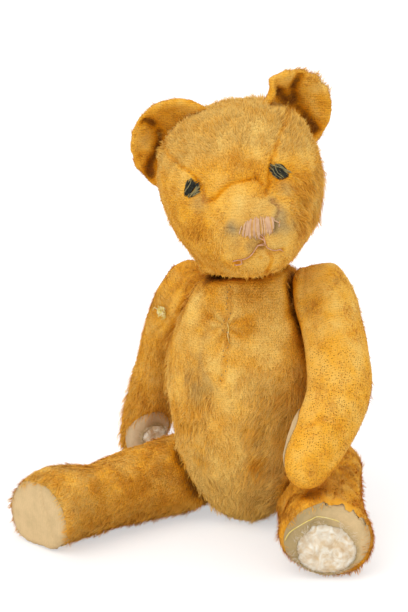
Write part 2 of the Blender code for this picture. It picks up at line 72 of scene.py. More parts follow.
# How far the backing lies inside the cover's outline, so that its pile reaches it
PILE_ROOM = {
    "head": 0.9 * MM,
    "torso": 0.0,
    "arm_left": 0.2 * MM,
    "arm_right": 0.6 * MM,
    "leg_left": 0.5 * MM,
    "leg_right": 0.5 * MM,
}
FLOOR_ROOM = 0.6 * MM  # thickness of the squashed pile that the bear sits on
CLOTH_VOXEL = 4.5 * MM  # coarser grid for the stuffing's simulation
CLOTH_SLACK = 0.9  # how far a cover is drawn in before its stuffing swells it, in millimetres
CLOTH_FRAMES = 20
SWELL = 1.4 * MM  # the most that the stuffing moves a cover
PAD_REACH = 30 * MM  # how far outside a pad its laying starts
CAMERA_WAY = (12.0, 18.0)  # degrees round from the front and up
CAMERA_AWAY = 1.275
CAMERA_AIM = (-0.02875, 0.126875)  # right of and above the frame's origin, as the camera sees it
JOINT_OF = {
    "head": "neck",
    "arm_left": "shoulder_left",
    "arm_right": "shoulder_right",
    "leg_left": "hip_left",
    "leg_right": "hip_right",
}

# Paths and places on the head, in millimetres to its left, back and up from the middle of its filling
BROW = (
    (-35.1, 15.4, 37.7), (-38.1, 1.4, 35.7), (-36.5, -16.6, 32.7), (-33.5, -21, 31.5),
    (-30.4, -24.6, 29.7), (-27, -27.9, 27.2), (-22.6, -31.1, 24.6), (-18.6, -34.6, 19.2),
    (-16.6, -38.1, 13.7), (-16.4, -39.7, 9.1),
)
BRIDGE = (
    (-16.4, -39.7, 9.1), (-9.8, -41, 11.3), (-4.1, -40.1, 15), (1.3, -39.2, 17.2), (9.1, -38.5, 17.9),
    (14.6, -37.7, 17.9), (18.4, -39.1, 15.7),
)
GUSSET = (
    (32.9, 25.4, 33.7), (37.2, 12, 42.6), (35.9, 1.4, 42.7), (34.3, -10.1, 40.4), (31.5, -18, 36.4),
    (29.3, -22.7, 32.7), (27.3, -26.2, 29.2), (25.2, -30.3, 24.3), (23.4, -34.4, 18.9), (21.9, -37.3, 15.7),
    (19.7, -43.9, 10),
)
MOUTH_DROP = ((14.4, -61.1, -9.7), (14.4, -61.4, -13.4), (14.3, -61.6, -15.9))
MOUTH_RIGHT = (
    (14.3, -61.6, -15.1), (11.3, -61.9, -16.7), (8.8, -62.1, -18.7), (4.3, -61.8, -21.8),
    (-1.2, -59.9, -24.1), (-4.6, -57.1, -25.4),
)
MOUTH_LEFT = ((14.3, -61.6, -15.5), (16.9, -61.5, -18.4), (20.7, -60.9, -19.9), (25.1, -59.8, -20.7))
CHIN = (
    (17.3, -61.4, -18.5), (18.4, -61.3, -22.3), (17.6, -60.5, -27.3), (15.2, -58, -32.2),
    (11.9, -48.6, -40.3), (8.9, -34.6, -47.3),
)
NOSE_EDGE = (
    (22.6, -46.1, 7.3), (25.6, -47.8, 4.4), (26.8, -50.1, 2), (24.9, -55.1, -0.9), (22.9, -58.9, -7.7),
)
NOSE_SLIT = ((-5.4, -54.2, -3.8), (-0.2, -57.8, -3.9), (4.8, -59.6, -4.6))
NOSE_MIDDLE = (14.1, -59.4, -3.9)
EYE_RIGHT = (-23, -34.6, 15.5)
EYE_LEFT = (28.2, -32.6, 18.4)
MUZZLE_RIGHT = (4.1, -61.8, -16)
MUZZLE_LEFT = (20.7, -60.7, -15.1)
CHIN_HOLE = (12.4, -62, -21.6)
# The muzzle's cheeks, the worn nose, and the brow that overhangs the snout: place, radius and height
FACE_LUMPS = (
    (MUZZLE_RIGHT, 9.5, 3.8),
    (MUZZLE_LEFT, 7.5, 3.2),
    (NOSE_MIDDLE, 12.0, 1.4),
    ((24, -52, 0), 9.0, 1.2),
    ((1, -37, 25), 19.0, 1.6),
    ((-26, -33, 4), 15.0, 0.6),
    ((34, -33, 4), 15.0, 0.4),
    ((-3, -48, 8), 9.0, 1.4),
)

# Paths and places on the ears, the torso and the limbs, in millimetres
EAR_RIGHT_FOLDS = (
    (
        (-63, -21, 249), (-58, -20.6, 249), (-53.3, -15.4, 242.1), (-54.4, -14.4, 231.5),
        (-57.5, -16.4, 224.8), (-58.6, -19.1, 216.8),
    ),
)
EAR_LEFT_FOLDS = (
    (
        (14.3, -1, 265.8), (18.2, 4.1, 262.6), (21.9, 7.9, 257.7), (26.6, 10.6, 253.9),
        (30.8, 11.9, 248.7), (35.1, 12.1, 242.7),
    ),
    ((28, 0.5, 275.7), (24.1, 4.1, 268.9), (22.9, 6.5, 263.2), (25, 9.4, 257.5)),
)
EAR_TUCK = ((4, -12, 266), (7.5, 1, -2), 15)  # where the left ear's inner edge is drawn in, and how far
CHEST = (
    (-8, -26.8, 152.6), (-8.2, -28.8, 148.2), (-8.4, -30.8, 143.2), (-9.1, -32.9, 137.6),
    (-10, -34.7, 132.6), (-8.3, -36.7, 127.2), (-8, -38.4, 122.1), (-8.1, -40.5, 114.7),
    (-7.7, -42.3, 107.8), (-9.2, -43.6, 100.7),
)
BELLY = ((-9.2, -43.6, 100.7), (-7, -46, 80), (-3, -46, 55), (1, -42, 28), (4, -27, 6))
SPINE = ((-4, 14, 157), (-2, 34, 140), (0, 46, 110), (0, 50, 75), (0, 46, 40), (0, 30, 8))
PUCKER = (-9.6, -34.7, 131.0)
MEND = (
    (-21, -33.5, 126), (-23.7, -35.3, 120), (-24.4, -37, 114), (-23.7, -38.1, 110.2), (-20, -41.3, 102.2),
    (-14.6, -44, 95.4), (-8.9, -45.3, 91.9),
)
STAIN = (-29.6, -39.1, 94.3)
TUFT = (13.8, -45.5, 49.2)
# The torso's end, plumped out towards the left thigh: place, radius and height
HAUNCHES = (((27, -30, 32), 17, 5.0), ((22, -26, 16), 15, 4.0))
# Darker and, where negative, paler places on the torso: place, radius and how much
SMUDGES = (
    ((-26.9, -39, 99.8), 9, 0.18), ((-28.7, -40.8, 83.2), 12, 0.25), ((2.8, -35.3, 130.6), 9, 0.12),
    ((-20.4, -22.5, 151), 12, 0.2), ((5.9, -25.3, 152.5), 10, 0.1), ((-12.2, -46.5, 73.7), 10, 0.15),
    ((16, -38, 122), 14, -0.15), ((10, -44, 96), 13, -0.12),
)
ELBOW = (
    (41, -79.5, 86), (44.9, -77, 89.3), (51.3, -74.3, 92.5), (59.5, -71, 92.5), (65.1, -69, 87.9),
    (69, -66, 83),
)
SOLE_THREAD = (
    (38.3, -94.5, 24.7), (40, -94.5, 28.6), (42.2, -94.5, 31.3), (46.7, -93.9, 34.6), (52.3, -92.7, 38.3),
    (57.8, -91.3, 40.4), (63.4, -89.7, 39.3), (69, -88.4, 37),
)
ARM_KNOT = (-57.4, 6.6, 123.8)
# The torn pads: the middle of the hole in metres, and its radii round it in millimetres
LEG_TEAR = (
    (0.0612, -0.0894, 0.0176),
    (17.8, 17.2, 17.4, 17.0, 17.4, 17.6, 17.6, 16.8, 16.2, 14.4, 13.6, 14.0, 15.4, 17.0),
)
ARM_TEAR = ((-0.0675, 0.0265, 0.0350), (7.5, 6.5, 5.5, 5.5, 7.0, 8.0, 6.0, 5.5))


# ------------------------------------------------------------------ settings


def linear(hex_colour):
    """An sRGB hex colour as linear red, green, blue and alpha."""
    channels = []
    for start in (1, 3, 5):
        value = int(hex_colour[start : start + 2], 16) / 255
        channels.append(value / 12.92 if value <= 0.04045 else ((value + 0.055) / 1.055) ** 2.4)
    return (*channels, 1.0)


def colour_setting(name, description, hex_colour):
    """A colour that the user may change."""
    return bpy.props.FloatVectorProperty(
        name=name,
        description=description,
        subtype="COLOR",
        size=4,
        min=0.0,
        max=1.0,
        default=linear(hex_colour),
    )


def length_setting(name, description, metres):
    """A length that the user may change."""
    return bpy.props.FloatProperty(
        name=name, description=description, default=metres, min=0.0, unit="LENGTH"
    )


class BearColours(bpy.types.PropertyGroup):
    faded: colour_setting("Faded plush", "Cloth and pile where light has bleached them", "#f0c76c")
    golden: colour_setting("Golden plush", "Most of the cloth and pile", "#eead36")
    deep: colour_setting("Deep plush", "Pile that light has not reached", "#d8880a")
    soil: colour_setting("Soil", "Grey-green grime in the cloth", "#ab9468")
    # Roots is also the darkest painted shade: in creases, where parts meet, and between the weave's rows
    roots: colour_setting("Roots", "The foot of the pile and the holes it left", "#7a450e")
    pad: colour_setting("Pad cloth", "Beige cotton of the paws and soles", "#d8ba8a")
    pad_rose: colour_setting("Rose pad cloth", "The rosier cotton of the right paw", "#d6bc98")
    kapok: colour_setting("Kapok", "Stuffing that shows through the holes", "#f4efe2")
    eye: colour_setting("Eye thread", "Worn dark blue-grey thread", "#1d1e1b")
    eye_worn: colour_setting("Worn eye thread", "Eye thread rubbed to grey-green", "#76745a")
    nose: colour_setting("Nose floss", "Rubbed rose-fawn floss", "#cda382")
    mouth: colour_setting("Mouth floss", "Rose floss of the mouth", "#cf9878")
    thread: colour_setting("Sewing thread", "Straw-yellow sewing thread", "#dfc55e")


class BearSizes(bpy.types.PropertyGroup):
    hair_width: length_setting("Hair width", "Width of a lock of a few hairs of the pile", 0.36 * MM)
    nap_width: length_setting("Nap width", "Width of a tuft of the short nap", 0.32 * MM)
    row_pitch: length_setting("Row pitch", "Distance between rows of the plush's weave", 1.45 * MM)
    stitch: length_setting("Stitch", "Length of a hand stitch", 2.6 * MM)
    stitch_width: length_setting("Stitch width", "Thickness of the thread of a hand stitch", 0.5 * MM)
    pile_density: bpy.props.FloatProperty(
        name="Pile density",
        description="Long strands on a square millimetre of whole pile",
        default=1.0,
        min=0.0,
    )
    nap_density: bpy.props.FloatProperty(
        name="Nap density",
        description="Short hairs on a square millimetre of whole nap",
        default=3.0,
        min=0.0,
    )
    seed: bpy.props.IntProperty(name="Seed", description="Seed of all random draws", default=7, min=0)


# ------------------------------------------------------------------ mesh helpers


def new_object(name, mesh):
    """An object of this mesh, in the scene."""
    obj = bpy.data.objects.new(name, mesh)
    bpy.context.scene.collection.objects.link(obj)
    return obj


def baked(obj, keep=False):
    """The object's evaluated mesh. The object is removed unless it is kept."""
    bpy.context.view_layer.update()
    graph = bpy.context.evaluated_depsgraph_get()
    mesh = bpy.data.meshes.new_from_object(obj.evaluated_get(graph))
    if not keep:
        bpy.data.objects.remove(obj)
    return mesh


def mesh_from(bm, name):
    """What was built, as a new mesh."""
    mesh = bpy.data.meshes.new(name)
    bm.to_mesh(mesh)
    bm.free()
    return mesh


def joined_nodes(names):
    """One mesh of copies of these nodes, their doubles merged."""
    bm = bmesh.new()
    for name in names:
        bm.from_mesh(NODES[name].data)
    bmesh.ops.remove_doubles(bm, verts=bm.verts, dist=1e-6)
    return mesh_from(bm, "joined")


def remeshed(mesh, voxel):
    """The mesh's outer surface on an even grid."""
    obj = new_object("remesh", mesh)
    grid = obj.modifiers.new("grid", "REMESH")
    grid.mode = "VOXEL"
    grid.voxel_size = voxel
    return baked(obj)


def smoothed(mesh, rounds):
    """The mesh with its edges softened."""
    obj = new_object("smooth", mesh)
    soft = obj.modifiers.new("soft", "SMOOTH")
    soft.factor = 0.5
    soft.iterations = rounds
    return baked(obj)


def largest_island(mesh):
    """Keeps the piece of the mesh with the most vertices."""
    bm = bmesh.new()
    bm.from_mesh(mesh)
    left = set(bm.verts)
    best = set()
    while left:
        island = {left.pop()}
        edge = list(island)
        while edge:
            for link in edge.pop().link_edges:
                for vertex in link.verts:
                    if vertex in left:
                        left.discard(vertex)
                        island.add(vertex)
                        edge.append(vertex)
        if len(island) > len(best):
            best = island
    bmesh.ops.delete(bm, geom=[v for v in bm.verts if v not in best], context="VERTS")
    bmesh.ops.recalc_face_normals(bm, faces=bm.faces)
    bm.to_mesh(mesh)
    bm.free()
    return mesh


def join_rings(bm, rings):
    """Adds the faces between each ring of vertices and the next."""
    for first, second in zip(rings, rings[1:]):
        for j in range(len(first)):
            k = (j + 1) % len(first)
            bm.faces.new((first[j], second[j], second[k], first[k]))


def points_of(mesh):
    flat = np.empty(len(mesh.vertices) * 3)
    mesh.vertices.foreach_get("co", flat)
    return flat.reshape(-1, 3)


def normals_of(mesh):
    flat = np.empty(len(mesh.vertices) * 3, np.float32)
    mesh.vertex_normals.foreach_get("vector", flat)
    return flat.reshape(-1, 3).astype(float)


def put_points(mesh, points):
    mesh.vertices.foreach_set("co", np.ascontiguousarray(points, np.float32).ravel())
    mesh.update()


def paint(mesh, name, values):
    """Stores one number or vector for each vertex."""
    values = np.asarray(values, np.float32)
    kind = "FLOAT_VECTOR" if values.ndim == 2 else "FLOAT"
    attribute = mesh.attributes.get(name) or mesh.attributes.new(name, kind, "POINT")
    attribute.data.foreach_set("vector" if values.ndim == 2 else "value", values.ravel())


def step(low, high, values):
    """0 below low, 1 above high, smooth between. low may be the larger."""
    share = np.clip((values - low) / (high - low), 0.0, 1.0)
    return share * share * (3 - 2 * share)


def spot(points, centre, radius, soft=0.5):
    """1 inside a ball, falling to 0 over its outer share, soft."""
    away = np.linalg.norm(points - np.asarray(centre), axis=1) / radius
    return step(1.0, 1.0 - soft, away)


def clouds(points, size, seed, detail=2):
    """Smooth noise about 0, from -1 to 1, with features of this size."""
    shift = Vector((seed * 3.7, seed * 1.3, seed * 7.1))
    return np.array([noise.fractal(Vector(p) / size + shift, 1.0, 2.0, detail) for p in points])


def drift(points, size, seed):
    """A smoothly changing direction at each point."""
    return np.stack([clouds(points, size, seed + axis) for axis in range(3)], axis=1)


def unit(vectors):
    """The vectors, each made 1 long."""
    return vectors / np.maximum(np.linalg.norm(vectors, axis=-1, keepdims=True), 1e-12)


def curve_through(points, spacing):
    """A smooth path through the points, with a point about every spacing."""
    points = [np.asarray(p, float) for p in points]
    ends = [2 * points[0] - points[1], *points, 2 * points[-1] - points[-2]]
    path = []
    for before, start, stop, after in zip(ends, ends[1:], ends[2:], ends[3:]):
        count = max(1, round(float(np.linalg.norm(stop - start)) / spacing))
        for i in range(count):
            t = i / count
            path.append(
                0.5
                * (
                    2 * start
                    + (stop - before) * t
                    + (2 * before - 5 * start + 4 * stop - after) * t**2
                    + (3 * start - before - 3 * stop + after) * t**3
                )
            )
    path.append(points[-1])
    return np.array(path)


def millimetres(path, spacing=1.5):
    """A smooth path in metres through places given in millimetres."""
    return curve_through(path, spacing) * MM


def near_line(points, line):
    """How far each point is from a path."""
    best = np.full(len(points), np.inf)
    for start, stop in zip(line, line[1:]):
        edge = stop - start
        share = np.clip(((points - start) @ edge) / max(float(edge @ edge), 1e-12), 0, 1)
        best = np.minimum(best, np.linalg.norm(points - start - share[:, None] * edge, axis=1))
    return best


def groove(points, line, width):
    """1 on a path, falling away over about this width."""
    return np.exp(-((near_line(points, line) / width) ** 2))


def tree_of(mesh):
    """A search tree of the mesh's faces."""
    bm = bmesh.new()
    bm.from_mesh(mesh)
    tree = BVHTree.FromBMesh(bm)
    bm.free()
    return tree


def settled(mesh, *paths):
    """Paths moved onto a surface."""
    tree = tree_of(mesh)
    return [np.array([tree.find_nearest(Vector(point))[0] for point in path]) for path in paths]


def centre_of(name):
    """The middle of a node's box."""
    low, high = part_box(name)
    return (Vector(low) + Vector(high)) / 2


def joint_of(part):
    """The point and unit axis of the joint that a part turns on."""
    for joint in frame["joints"]:
        if joint["child"] == part:
            return np.array(joint["pos_m"], float), unit(np.array(joint["axis"], float))
    raise ValueError(f"{part} has no joint")


# ------------------------------------------------------------------ node helpers


def add_node(tree, kind, inputs=None, **settings):
    """Adds a node with its settings. An input takes a value, a socket, or a node's first output."""
    made = tree.nodes.new(kind)
    for name, value in settings.items():
        setattr(made, name, value)
    for name, value in (inputs or {}).items():
        if isinstance(value, bpy.types.Node):
            value = next(socket for socket in value.outputs if socket.enabled)
        if isinstance(value, bpy.types.NodeSocket):
            tree.links.new(value, made.inputs[name])
        else:
            made.inputs[name].default_value = value
    return made


def new_material(name):
    """A new material, its tree, its shader wired to the output, and its Object coordinates."""
    made = bpy.data.materials.new(name)
    made.use_nodes = True
    tree = made.node_tree
    tree.nodes.clear()
    shader = add_node(tree, "ShaderNodeBsdfPrincipled")
    add_node(tree, "ShaderNodeOutputMaterial", {"Surface": shader})
    return made, tree, shader, add_node(tree, "ShaderNodeTexCoord").outputs["Object"]


def blend_colours(tree, share, first, second):
    """A colour mix. share is a socket or node, first and second are sockets, nodes or colours."""
    mix = add_node(
        tree, "ShaderNodeMix", {0: share, 6: first, 7: second}, data_type="RGBA", clamp_factor=True
    )
    return mix.outputs[2]


# ------------------------------------------------------------------ materials


def surfaced(tree, shader, colour, height, strength, depth, roughness):
    """Gives a shader its colour, its relief from a height, and its roughness."""
    bump = add_node(
        tree, "ShaderNodeBump", {"Height": height, "Strength": strength, "Distance": depth}
    )
    tree.links.new(colour, shader.inputs["Base Color"])
    tree.links.new(bump.outputs["Normal"], shader.inputs["Normal"])
    shader.inputs["Roughness"].default_value = roughness


def dyed_and_shaded_colour(tree, place, colours, own=None):
    """Faded to deep plush by the painted dye and painted shade, then greyed by the painted soil."""
    dye = add_node(tree, "ShaderNodeAttribute", attribute_name="dye")
    mottle = add_node(
        tree,
        "ShaderNodeTexNoise",
        {"Vector": place, "Scale": 75.0, "Detail": 5.0, "Roughness": 0.6},
    )
    spread = add_node(
        tree,
        "ShaderNodeMapRange",
        {
            "Value": mottle.outputs["Fac"],
            "From Min": 0.25,
            "From Max": 0.75,
            "To Min": -0.20,
            "To Max": 0.20,
        },
    )
    amount = add_node(tree, "ShaderNodeMath", {0: dye.outputs["Fac"], 1: spread}, operation="ADD")
    if own is not None:
        each = add_node(tree, "ShaderNodeMapRange", {"Value": own, "To Min": -0.30, "To Max": 0.24})
        amount = add_node(tree, "ShaderNodeMath", {0: amount, 1: each}, operation="ADD")
    ramp = add_node(tree, "ShaderNodeValToRGB", {"Fac": amount})
    ramp.color_ramp.elements[0].color = colours.faded
    # Past deep the ramp runs to the roots' colour, which is also the darkest painted shade, in creases and
    # where parts meet
    ramp.color_ramp.elements[1].color = colours.roots
    ramp.color_ramp.elements.new(0.42).color = colours.golden
    ramp.color_ramp.elements.new(0.74).color = colours.deep
    soil = add_node(tree, "ShaderNodeAttribute", attribute_name="soil")
    return blend_colours(tree, soil.outputs["Fac"], ramp.outputs["Color"], colours.soil)


def plush_cloth(colours, sizes):
    """Cotton plush backing: matt, with rows of pin holes where the tufts have worn out, and painted shade
    between its rows.
    """
    made, tree, shader, place = new_material("mohair_plush_backing")
    colour = dyed_and_shaded_colour(tree, place, colours)
    # The weave's real pitch of about 0.8 mm is too fine to show, so it is drawn coarser
    pitch = MM / sizes.row_pitch
    weave = add_node(tree, "ShaderNodeUVMap", uv_map="weave")
    scaled = add_node(
        tree, "ShaderNodeMapping", {"Vector": weave, "Scale": (pitch * 0.9, pitch, 1.0)}
    )
    holes = add_node(
        tree,
        "ShaderNodeTexVoronoi",
        {"Vector": place, "Scale": 1.2 / sizes.row_pitch, "Randomness": 0.7},
    )
    dots = add_node(
        tree,
        "ShaderNodeMapRange",
        {
            "Value": holes.outputs["Distance"],
            "From Min": 0.14,
            "From Max": 0.42,
            "To Min": 0.9,
            "To Max": 0.0,
        },
    )
    # Only some of the holes are open, in patches
    draw = add_node(tree, "ShaderNodeSeparateColor", {0: holes.outputs["Color"]})
    patches = add_node(
        tree, "ShaderNodeTexNoise", {"Vector": scaled, "Scale": 0.16, "Detail": 3.0}
    )
    chance = add_node(
        tree, "ShaderNodeMath", {0: draw.outputs["Red"], 1: patches.outputs["Fac"]}, operation="ADD"
    )
    opened = add_node(
        tree, "ShaderNodeMapRange", {"Value": chance, "From Min": 0.55, "From Max": 0.9}
    )
    bare = add_node(tree, "ShaderNodeAttribute", attribute_name="bare")
    shown = add_node(tree, "ShaderNodeMath", {0: dots, 1: bare.outputs["Fac"]}, operation="MULTIPLY")
    shown = add_node(tree, "ShaderNodeMath", {0: shown, 1: opened}, operation="MULTIPLY")
    colour = blend_colours(tree, shown, colour, colours.roots)
    rows = add_node(
        tree,
        "ShaderNodeTexWave",
        {"Vector": scaled, "Scale": 0.32, "Distortion": 2.5, "Detail": 2.0, "Detail Scale": 2.0},
        bands_direction="Y",
    )
    # Painted shade: the hollows between the weave's rows are darkened towards the roots' colour
    between = add_node(
        tree,
        "ShaderNodeMapRange",
        {"Value": rows.outputs["Fac"], "From Max": 0.55, "To Min": 0.13, "To Max": 0.0},
    )
    colour = blend_colours(tree, between, colour, colours.roots)
    height = add_node(tree, "ShaderNodeMath", {0: rows.outputs["Fac"], 1: shown}, operation="SUBTRACT")
    surfaced(tree, shader, colour, height, 0.45, 0.35 * MM, 0.95)
    shader.inputs["Specular IOR Level"].default_value = 0.08
    return made


def mohair(colours):
    """Mohair pile: long lustrous hairs, dark and rich at the root, with painted shade deep in the pile
    there, pale and bleached at the tip.
    """
    made, tree, shader, place = new_material("mohair_pile")
    own = add_node(tree, "ShaderNodeAttribute", attribute_name="own")
    colour = dyed_and_shaded_colour(tree, place, colours, own.outputs["Fac"])
    along = add_node(tree, "ShaderNodeAttribute", attribute_name="along")
    # Darker towards the roots: the pile's own unfaded colour, and painted shade deep in the pile
    root = add_node(
        tree,
        "ShaderNodeMapRange",
        {"Value": along.outputs["Fac"], "From Max": 0.7, "To Min": 0.6, "To Max": 0.0},
    )
    colour = blend_colours(tree, root, colour, colours.roots)
    pale = add_node(
        tree,
        "ShaderNodeMath",
        {0: own.outputs["Fac"], 1: along.outputs["Fac"]},
        operation="MULTIPLY",
    )
    paler = add_node(tree, "ShaderNodeMath", {0: pale, 1: 0.28}, operation="MULTIPLY")
    colour = blend_colours(tree, paler, colour, colours.faded)
    tree.links.new(colour, shader.inputs["Base Color"])
    shader.inputs["Roughness"].default_value = 0.7
    shader.inputs["Specular IOR Level"].default_value = 0.08
    return made


def cloth(name, colour, soil, pitch, grime):
    """Plain cotton cloth: matt, finely woven, with grime in patches and where it is painted."""
    made, tree, shader, place = new_material(name)
    patches = add_node(
        tree, "ShaderNodeTexNoise", {"Vector": place, "Scale": 110.0, "Detail": 5.0, "Roughness": 0.65}
    )
    dirt = add_node(
        tree,
        "ShaderNodeMapRange",
        {"Value": patches.outputs["Fac"], "From Min": 0.40, "From Max": 0.75, "To Max": grime},
    )
    painted = add_node(tree, "ShaderNodeAttribute", attribute_name="soil")
    dirt = add_node(tree, "ShaderNodeMath", {0: dirt, 1: painted.outputs["Fac"]}, operation="ADD")
    stained = blend_colours(tree, dirt, colour, soil)
    # Threads of 0.4 mm are too fine to show, so they are drawn at about twice that
    threads = add_node(
        tree,
        "ShaderNodeTexVoronoi",
        {"Vector": place, "Scale": 1.0 / pitch, "Randomness": 0.3},
    )
    shade = add_node(
        tree,
        "ShaderNodeMapRange",
        {"Value": threads.outputs["Distance"], "From Min": 0.35, "From Max": 0.7, "To Max": 0.22},
    )
    stained = blend_colours(tree, shade, stained, soil)
    surfaced(tree, shader, stained, threads.outputs["Distance"], 0.45, -0.25 * MM, 0.95)
    return made


def kapok(colours):
    """Kapok: matted silky fibre, off-white with dust in its hollows."""
    made, tree, shader, place = new_material("kapok_fibre")
    lumps = add_node(
        tree,
        "ShaderNodeTexNoise",
        {"Vector": place, "Scale": 150.0, "Detail": 7.0, "Distortion": 1.5},
    )
    dust = add_node(
        tree,
        "ShaderNodeMapRange",
        {
            "Value": lumps.outputs["Fac"],
            "From Min": 0.35,
            "From Max": 0.62,
            "To Min": 0.85,
            "To Max": 0.0,
        },
    )
    colour = blend_colours(tree, dust, colours.kapok, colours.pad)
    surfaced(tree, shader, colour, lumps.outputs["Fac"], 0.6, 1.2 * MM, 0.9)
    shader.inputs["Sheen Weight"].default_value = 0.2
    return made


def millboard():
    """Millboard: pressed brown fibre, flecked."""
    made, tree, shader, place = new_material("millboard_pressed")
    flecks = add_node(
        tree,
        "ShaderNodeTexNoise",
        {"Vector": place, "Scale": 700.0, "Detail": 3.0},
    )
    colour = blend_colours(tree, flecks.outputs["Fac"], linear("#4d3a26"), linear("#8b7150"))
    surfaced(tree, shader, colour, flecks.outputs["Fac"], 0.3, 0.2 * MM, 0.85)
    return made


def steel_wire():
    """Drawn mild steel: grey, with freckles of rust."""
    made, tree, shader, place = new_material("drawn_steel_wire")
    rust = add_node(
        tree,
        "ShaderNodeTexNoise",
        {"Vector": place, "Scale": 420.0, "Detail": 4.0},
    )
    spots = add_node(
        tree,
        "ShaderNodeMapRange",
        {"Value": rust.outputs["Fac"], "From Min": 0.55, "From Max": 0.68},
    )
    colour = blend_colours(tree, spots, linear("#a9a7a2"), linear("#6d4327"))
    tree.links.new(colour, shader.inputs["Base Color"])
    rough = add_node(tree, "ShaderNodeMapRange", {"Value": spots, "To Min": 0.38, "To Max": 0.85})
    tree.links.new(rough.outputs[0], shader.inputs["Roughness"])
    shader.inputs["Metallic"].default_value = 0.9
    return made


def floss(name, colour, shade):
    """Stranded cotton floss: soft, slightly lustrous, rubbed paler in places."""
    made, tree, shader, place = new_material(name)
    rubbed = add_node(
        tree,
        "ShaderNodeTexNoise",
        {"Vector": place, "Scale": 420.0, "Detail": 4.0},
    )
    share = add_node(
        tree, "ShaderNodeMapRange", {"Value": rubbed.outputs["Fac"], "From Min": 0.35, "From Max": 0.7}
    )
    colour = blend_colours(tree, share, colour, shade)
    surfaced(tree, shader, colour, rubbed.outputs["Fac"], 0.4, 0.2 * MM, 0.8)
    shader.inputs["Specular IOR Level"].default_value = 0.15
    return made


FINISHES = {}  # the materials made so far


def finish_named(name):
    """The finish of this name, made the first time that it is asked for."""
    if name in FINISHES:
        return FINISHES[name]
    scene = bpy.context.scene
    colours, sizes = scene.bear_colours, scene.bear_sizes
    makers = {
        "plush": lambda: plush_cloth(colours, sizes),
        "pile": lambda: mohair(colours),
        "pad": lambda: cloth("cotton_pad_cloth", colours.pad, colours.soil, 0.85 * MM, 0.45),
        "rose_pad": lambda: cloth(
            "rose_cotton_pad_cloth", colours.pad_rose, colours.soil, 0.85 * MM, 0.3
        ),
        "kapok": lambda: kapok(colours),
        "millboard": millboard,
        "steel": steel_wire,
        "eye": lambda: floss("eye_thread", colours.eye, linear("#3e3f36")),
        "eye_worn": lambda: floss("worn_eye_thread", colours.eye_worn, linear("#a38f55")),
        "nose": lambda: floss("nose_floss", colours.nose, linear("#dbb692")),
        "nose_worn": lambda: floss("worn_nose_floss", linear("#c79457"), linear("#dfb06c")),
        "mouth": lambda: floss("mouth_floss", colours.mouth, linear("#e0b596")),
        "thread": lambda: floss("sewing_thread", colours.thread, linear("#e8dba6")),
        "cloth_thread": lambda: floss("cloth_coloured_thread", linear("#b98a45"), linear("#dcb46c")),
        "grey_thread": lambda: floss("grey_sewing_thread", linear("#6d6450"), linear("#9a8f72")),
    }
    FINISHES[name] = makers[name]()
    return FINISHES[name]


# ------------------------------------------------------------------ covers

SKINS = {}  # each part's plush object
TREES = {}  # each part's plush as a search tree
PADS = []  # where the pads lie


def pad_node(part):
    """The name of a limb's pad node."""
    return f"{part}_paw_pad" if part.startswith("arm") else f"{part}_foot_pad"


def cover_nodes(part):
    """The nodes that fill a part's cover out to its surface."""
    names = [f"{part}_cover", f"{part}_filling"]
    if part == "torso":
        for joint in JOINT_OF.values():
            names += [f"{joint}_disc_inner", f"{joint}_washer_inner"]
        return names
    names += [f"{JOINT_OF[part]}_disc_outer", f"{JOINT_OF[part]}_washer_outer"]
    if part != "head":
        names.append(pad_node(part))
    return names


def plush_form(part):
    """A part's closed outer surface, on a fine even grid."""
    mesh = largest_island(remeshed(joined_nodes(cover_nodes(part)), VOXEL))
    mesh = smoothed(mesh, SMOOTH_ROUNDS)
    put_points(mesh, points_of(mesh) - normals_of(mesh) * PILE_ROOM[part])
    return mesh


def seats_of(part):
    """The flats that a part turns on: their middle, axis and radius."""
    parts = JOINT_OF if part == "torso" else (part,)
    seats = []
    for name in parts:
        pin, axis = joint_of(name)
        low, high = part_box(f"{JOINT_OF[name]}_disc_outer")
        seats.append((pin, axis, (Vector(high) - Vector(low)).length / 2 * 1.15))
    return seats


def stuffed(part, mesh, seams):
    """Swells a cover with its stuffing by cloth simulation. Its seams and seats hold it down."""
    put_points(mesh, points_of(mesh) - normals_of(mesh) * CLOTH_SLACK * MM)
    coarse = smoothed(remeshed(mesh.copy(), CLOTH_VOXEL), 2)
    rest = points_of(coarse)
    held = np.zeros(len(rest))
    for line in seams:
        held = np.maximum(held, step(5.0 * MM, 2.5 * MM, near_line(rest, line)))
    for middle, axis, radius in seats_of(part):
        over = (rest - middle) @ axis
        aside = np.linalg.norm(rest - middle - over[:, None] * axis, axis=1)
        seat = step(7 * MM, 4 * MM, np.abs(over)) * step(radius * 1.5, radius * 1.2, aside)
        held = np.maximum(held, seat)
    held = np.maximum(held, step(3 * MM, 1.5 * MM, rest[:, 2]))
    obj = new_object("stuffing_test", coarse)
    group = obj.vertex_groups.new(name="held")
    for index, weight in enumerate(held):
        if weight > 0:
            group.add([index], float(weight), "REPLACE")
    sim = obj.modifiers.new("stuffing", "CLOTH")
    sim.settings.vertex_group_mass = "held"
    sim.settings.use_pressure = True
    sim.settings.uniform_pressure_force = 4.0
    sim.settings.effector_weights.gravity = 0.0
    sim.settings.quality = 4
    sim.point_cache.frame_start = 1
    sim.point_cache.frame_end = CLOTH_FRAMES
    scene = bpy.context.scene
    for number in range(1, CLOTH_FRAMES + 1):
        scene.frame_set(number)
    swelled = points_of(baked(obj, keep=True))
    scene.frame_set(1)
    move = swelled - rest
    reach = np.linalg.norm(move, axis=1, keepdims=True)
    move *= np.minimum(1.0, SWELL / np.maximum(reach, 1e-9))
    tree = tree_of(coarse)
    fine = points_of(mesh)
    shift = np.zeros_like(fine)
    for index, point in enumerate(fine):
        place, _, face, _ = tree.find_nearest(Vector(point))
        corners = list(coarse.polygons[face].vertices)
        shares = poly_3d_calc([Vector(rest[c]) for c in corners], place)
        shift[index] = sum(share * move[c] for share, c in zip(shares, corners))
    bpy.data.objects.remove(obj)
    put_points(mesh, fine + shift)


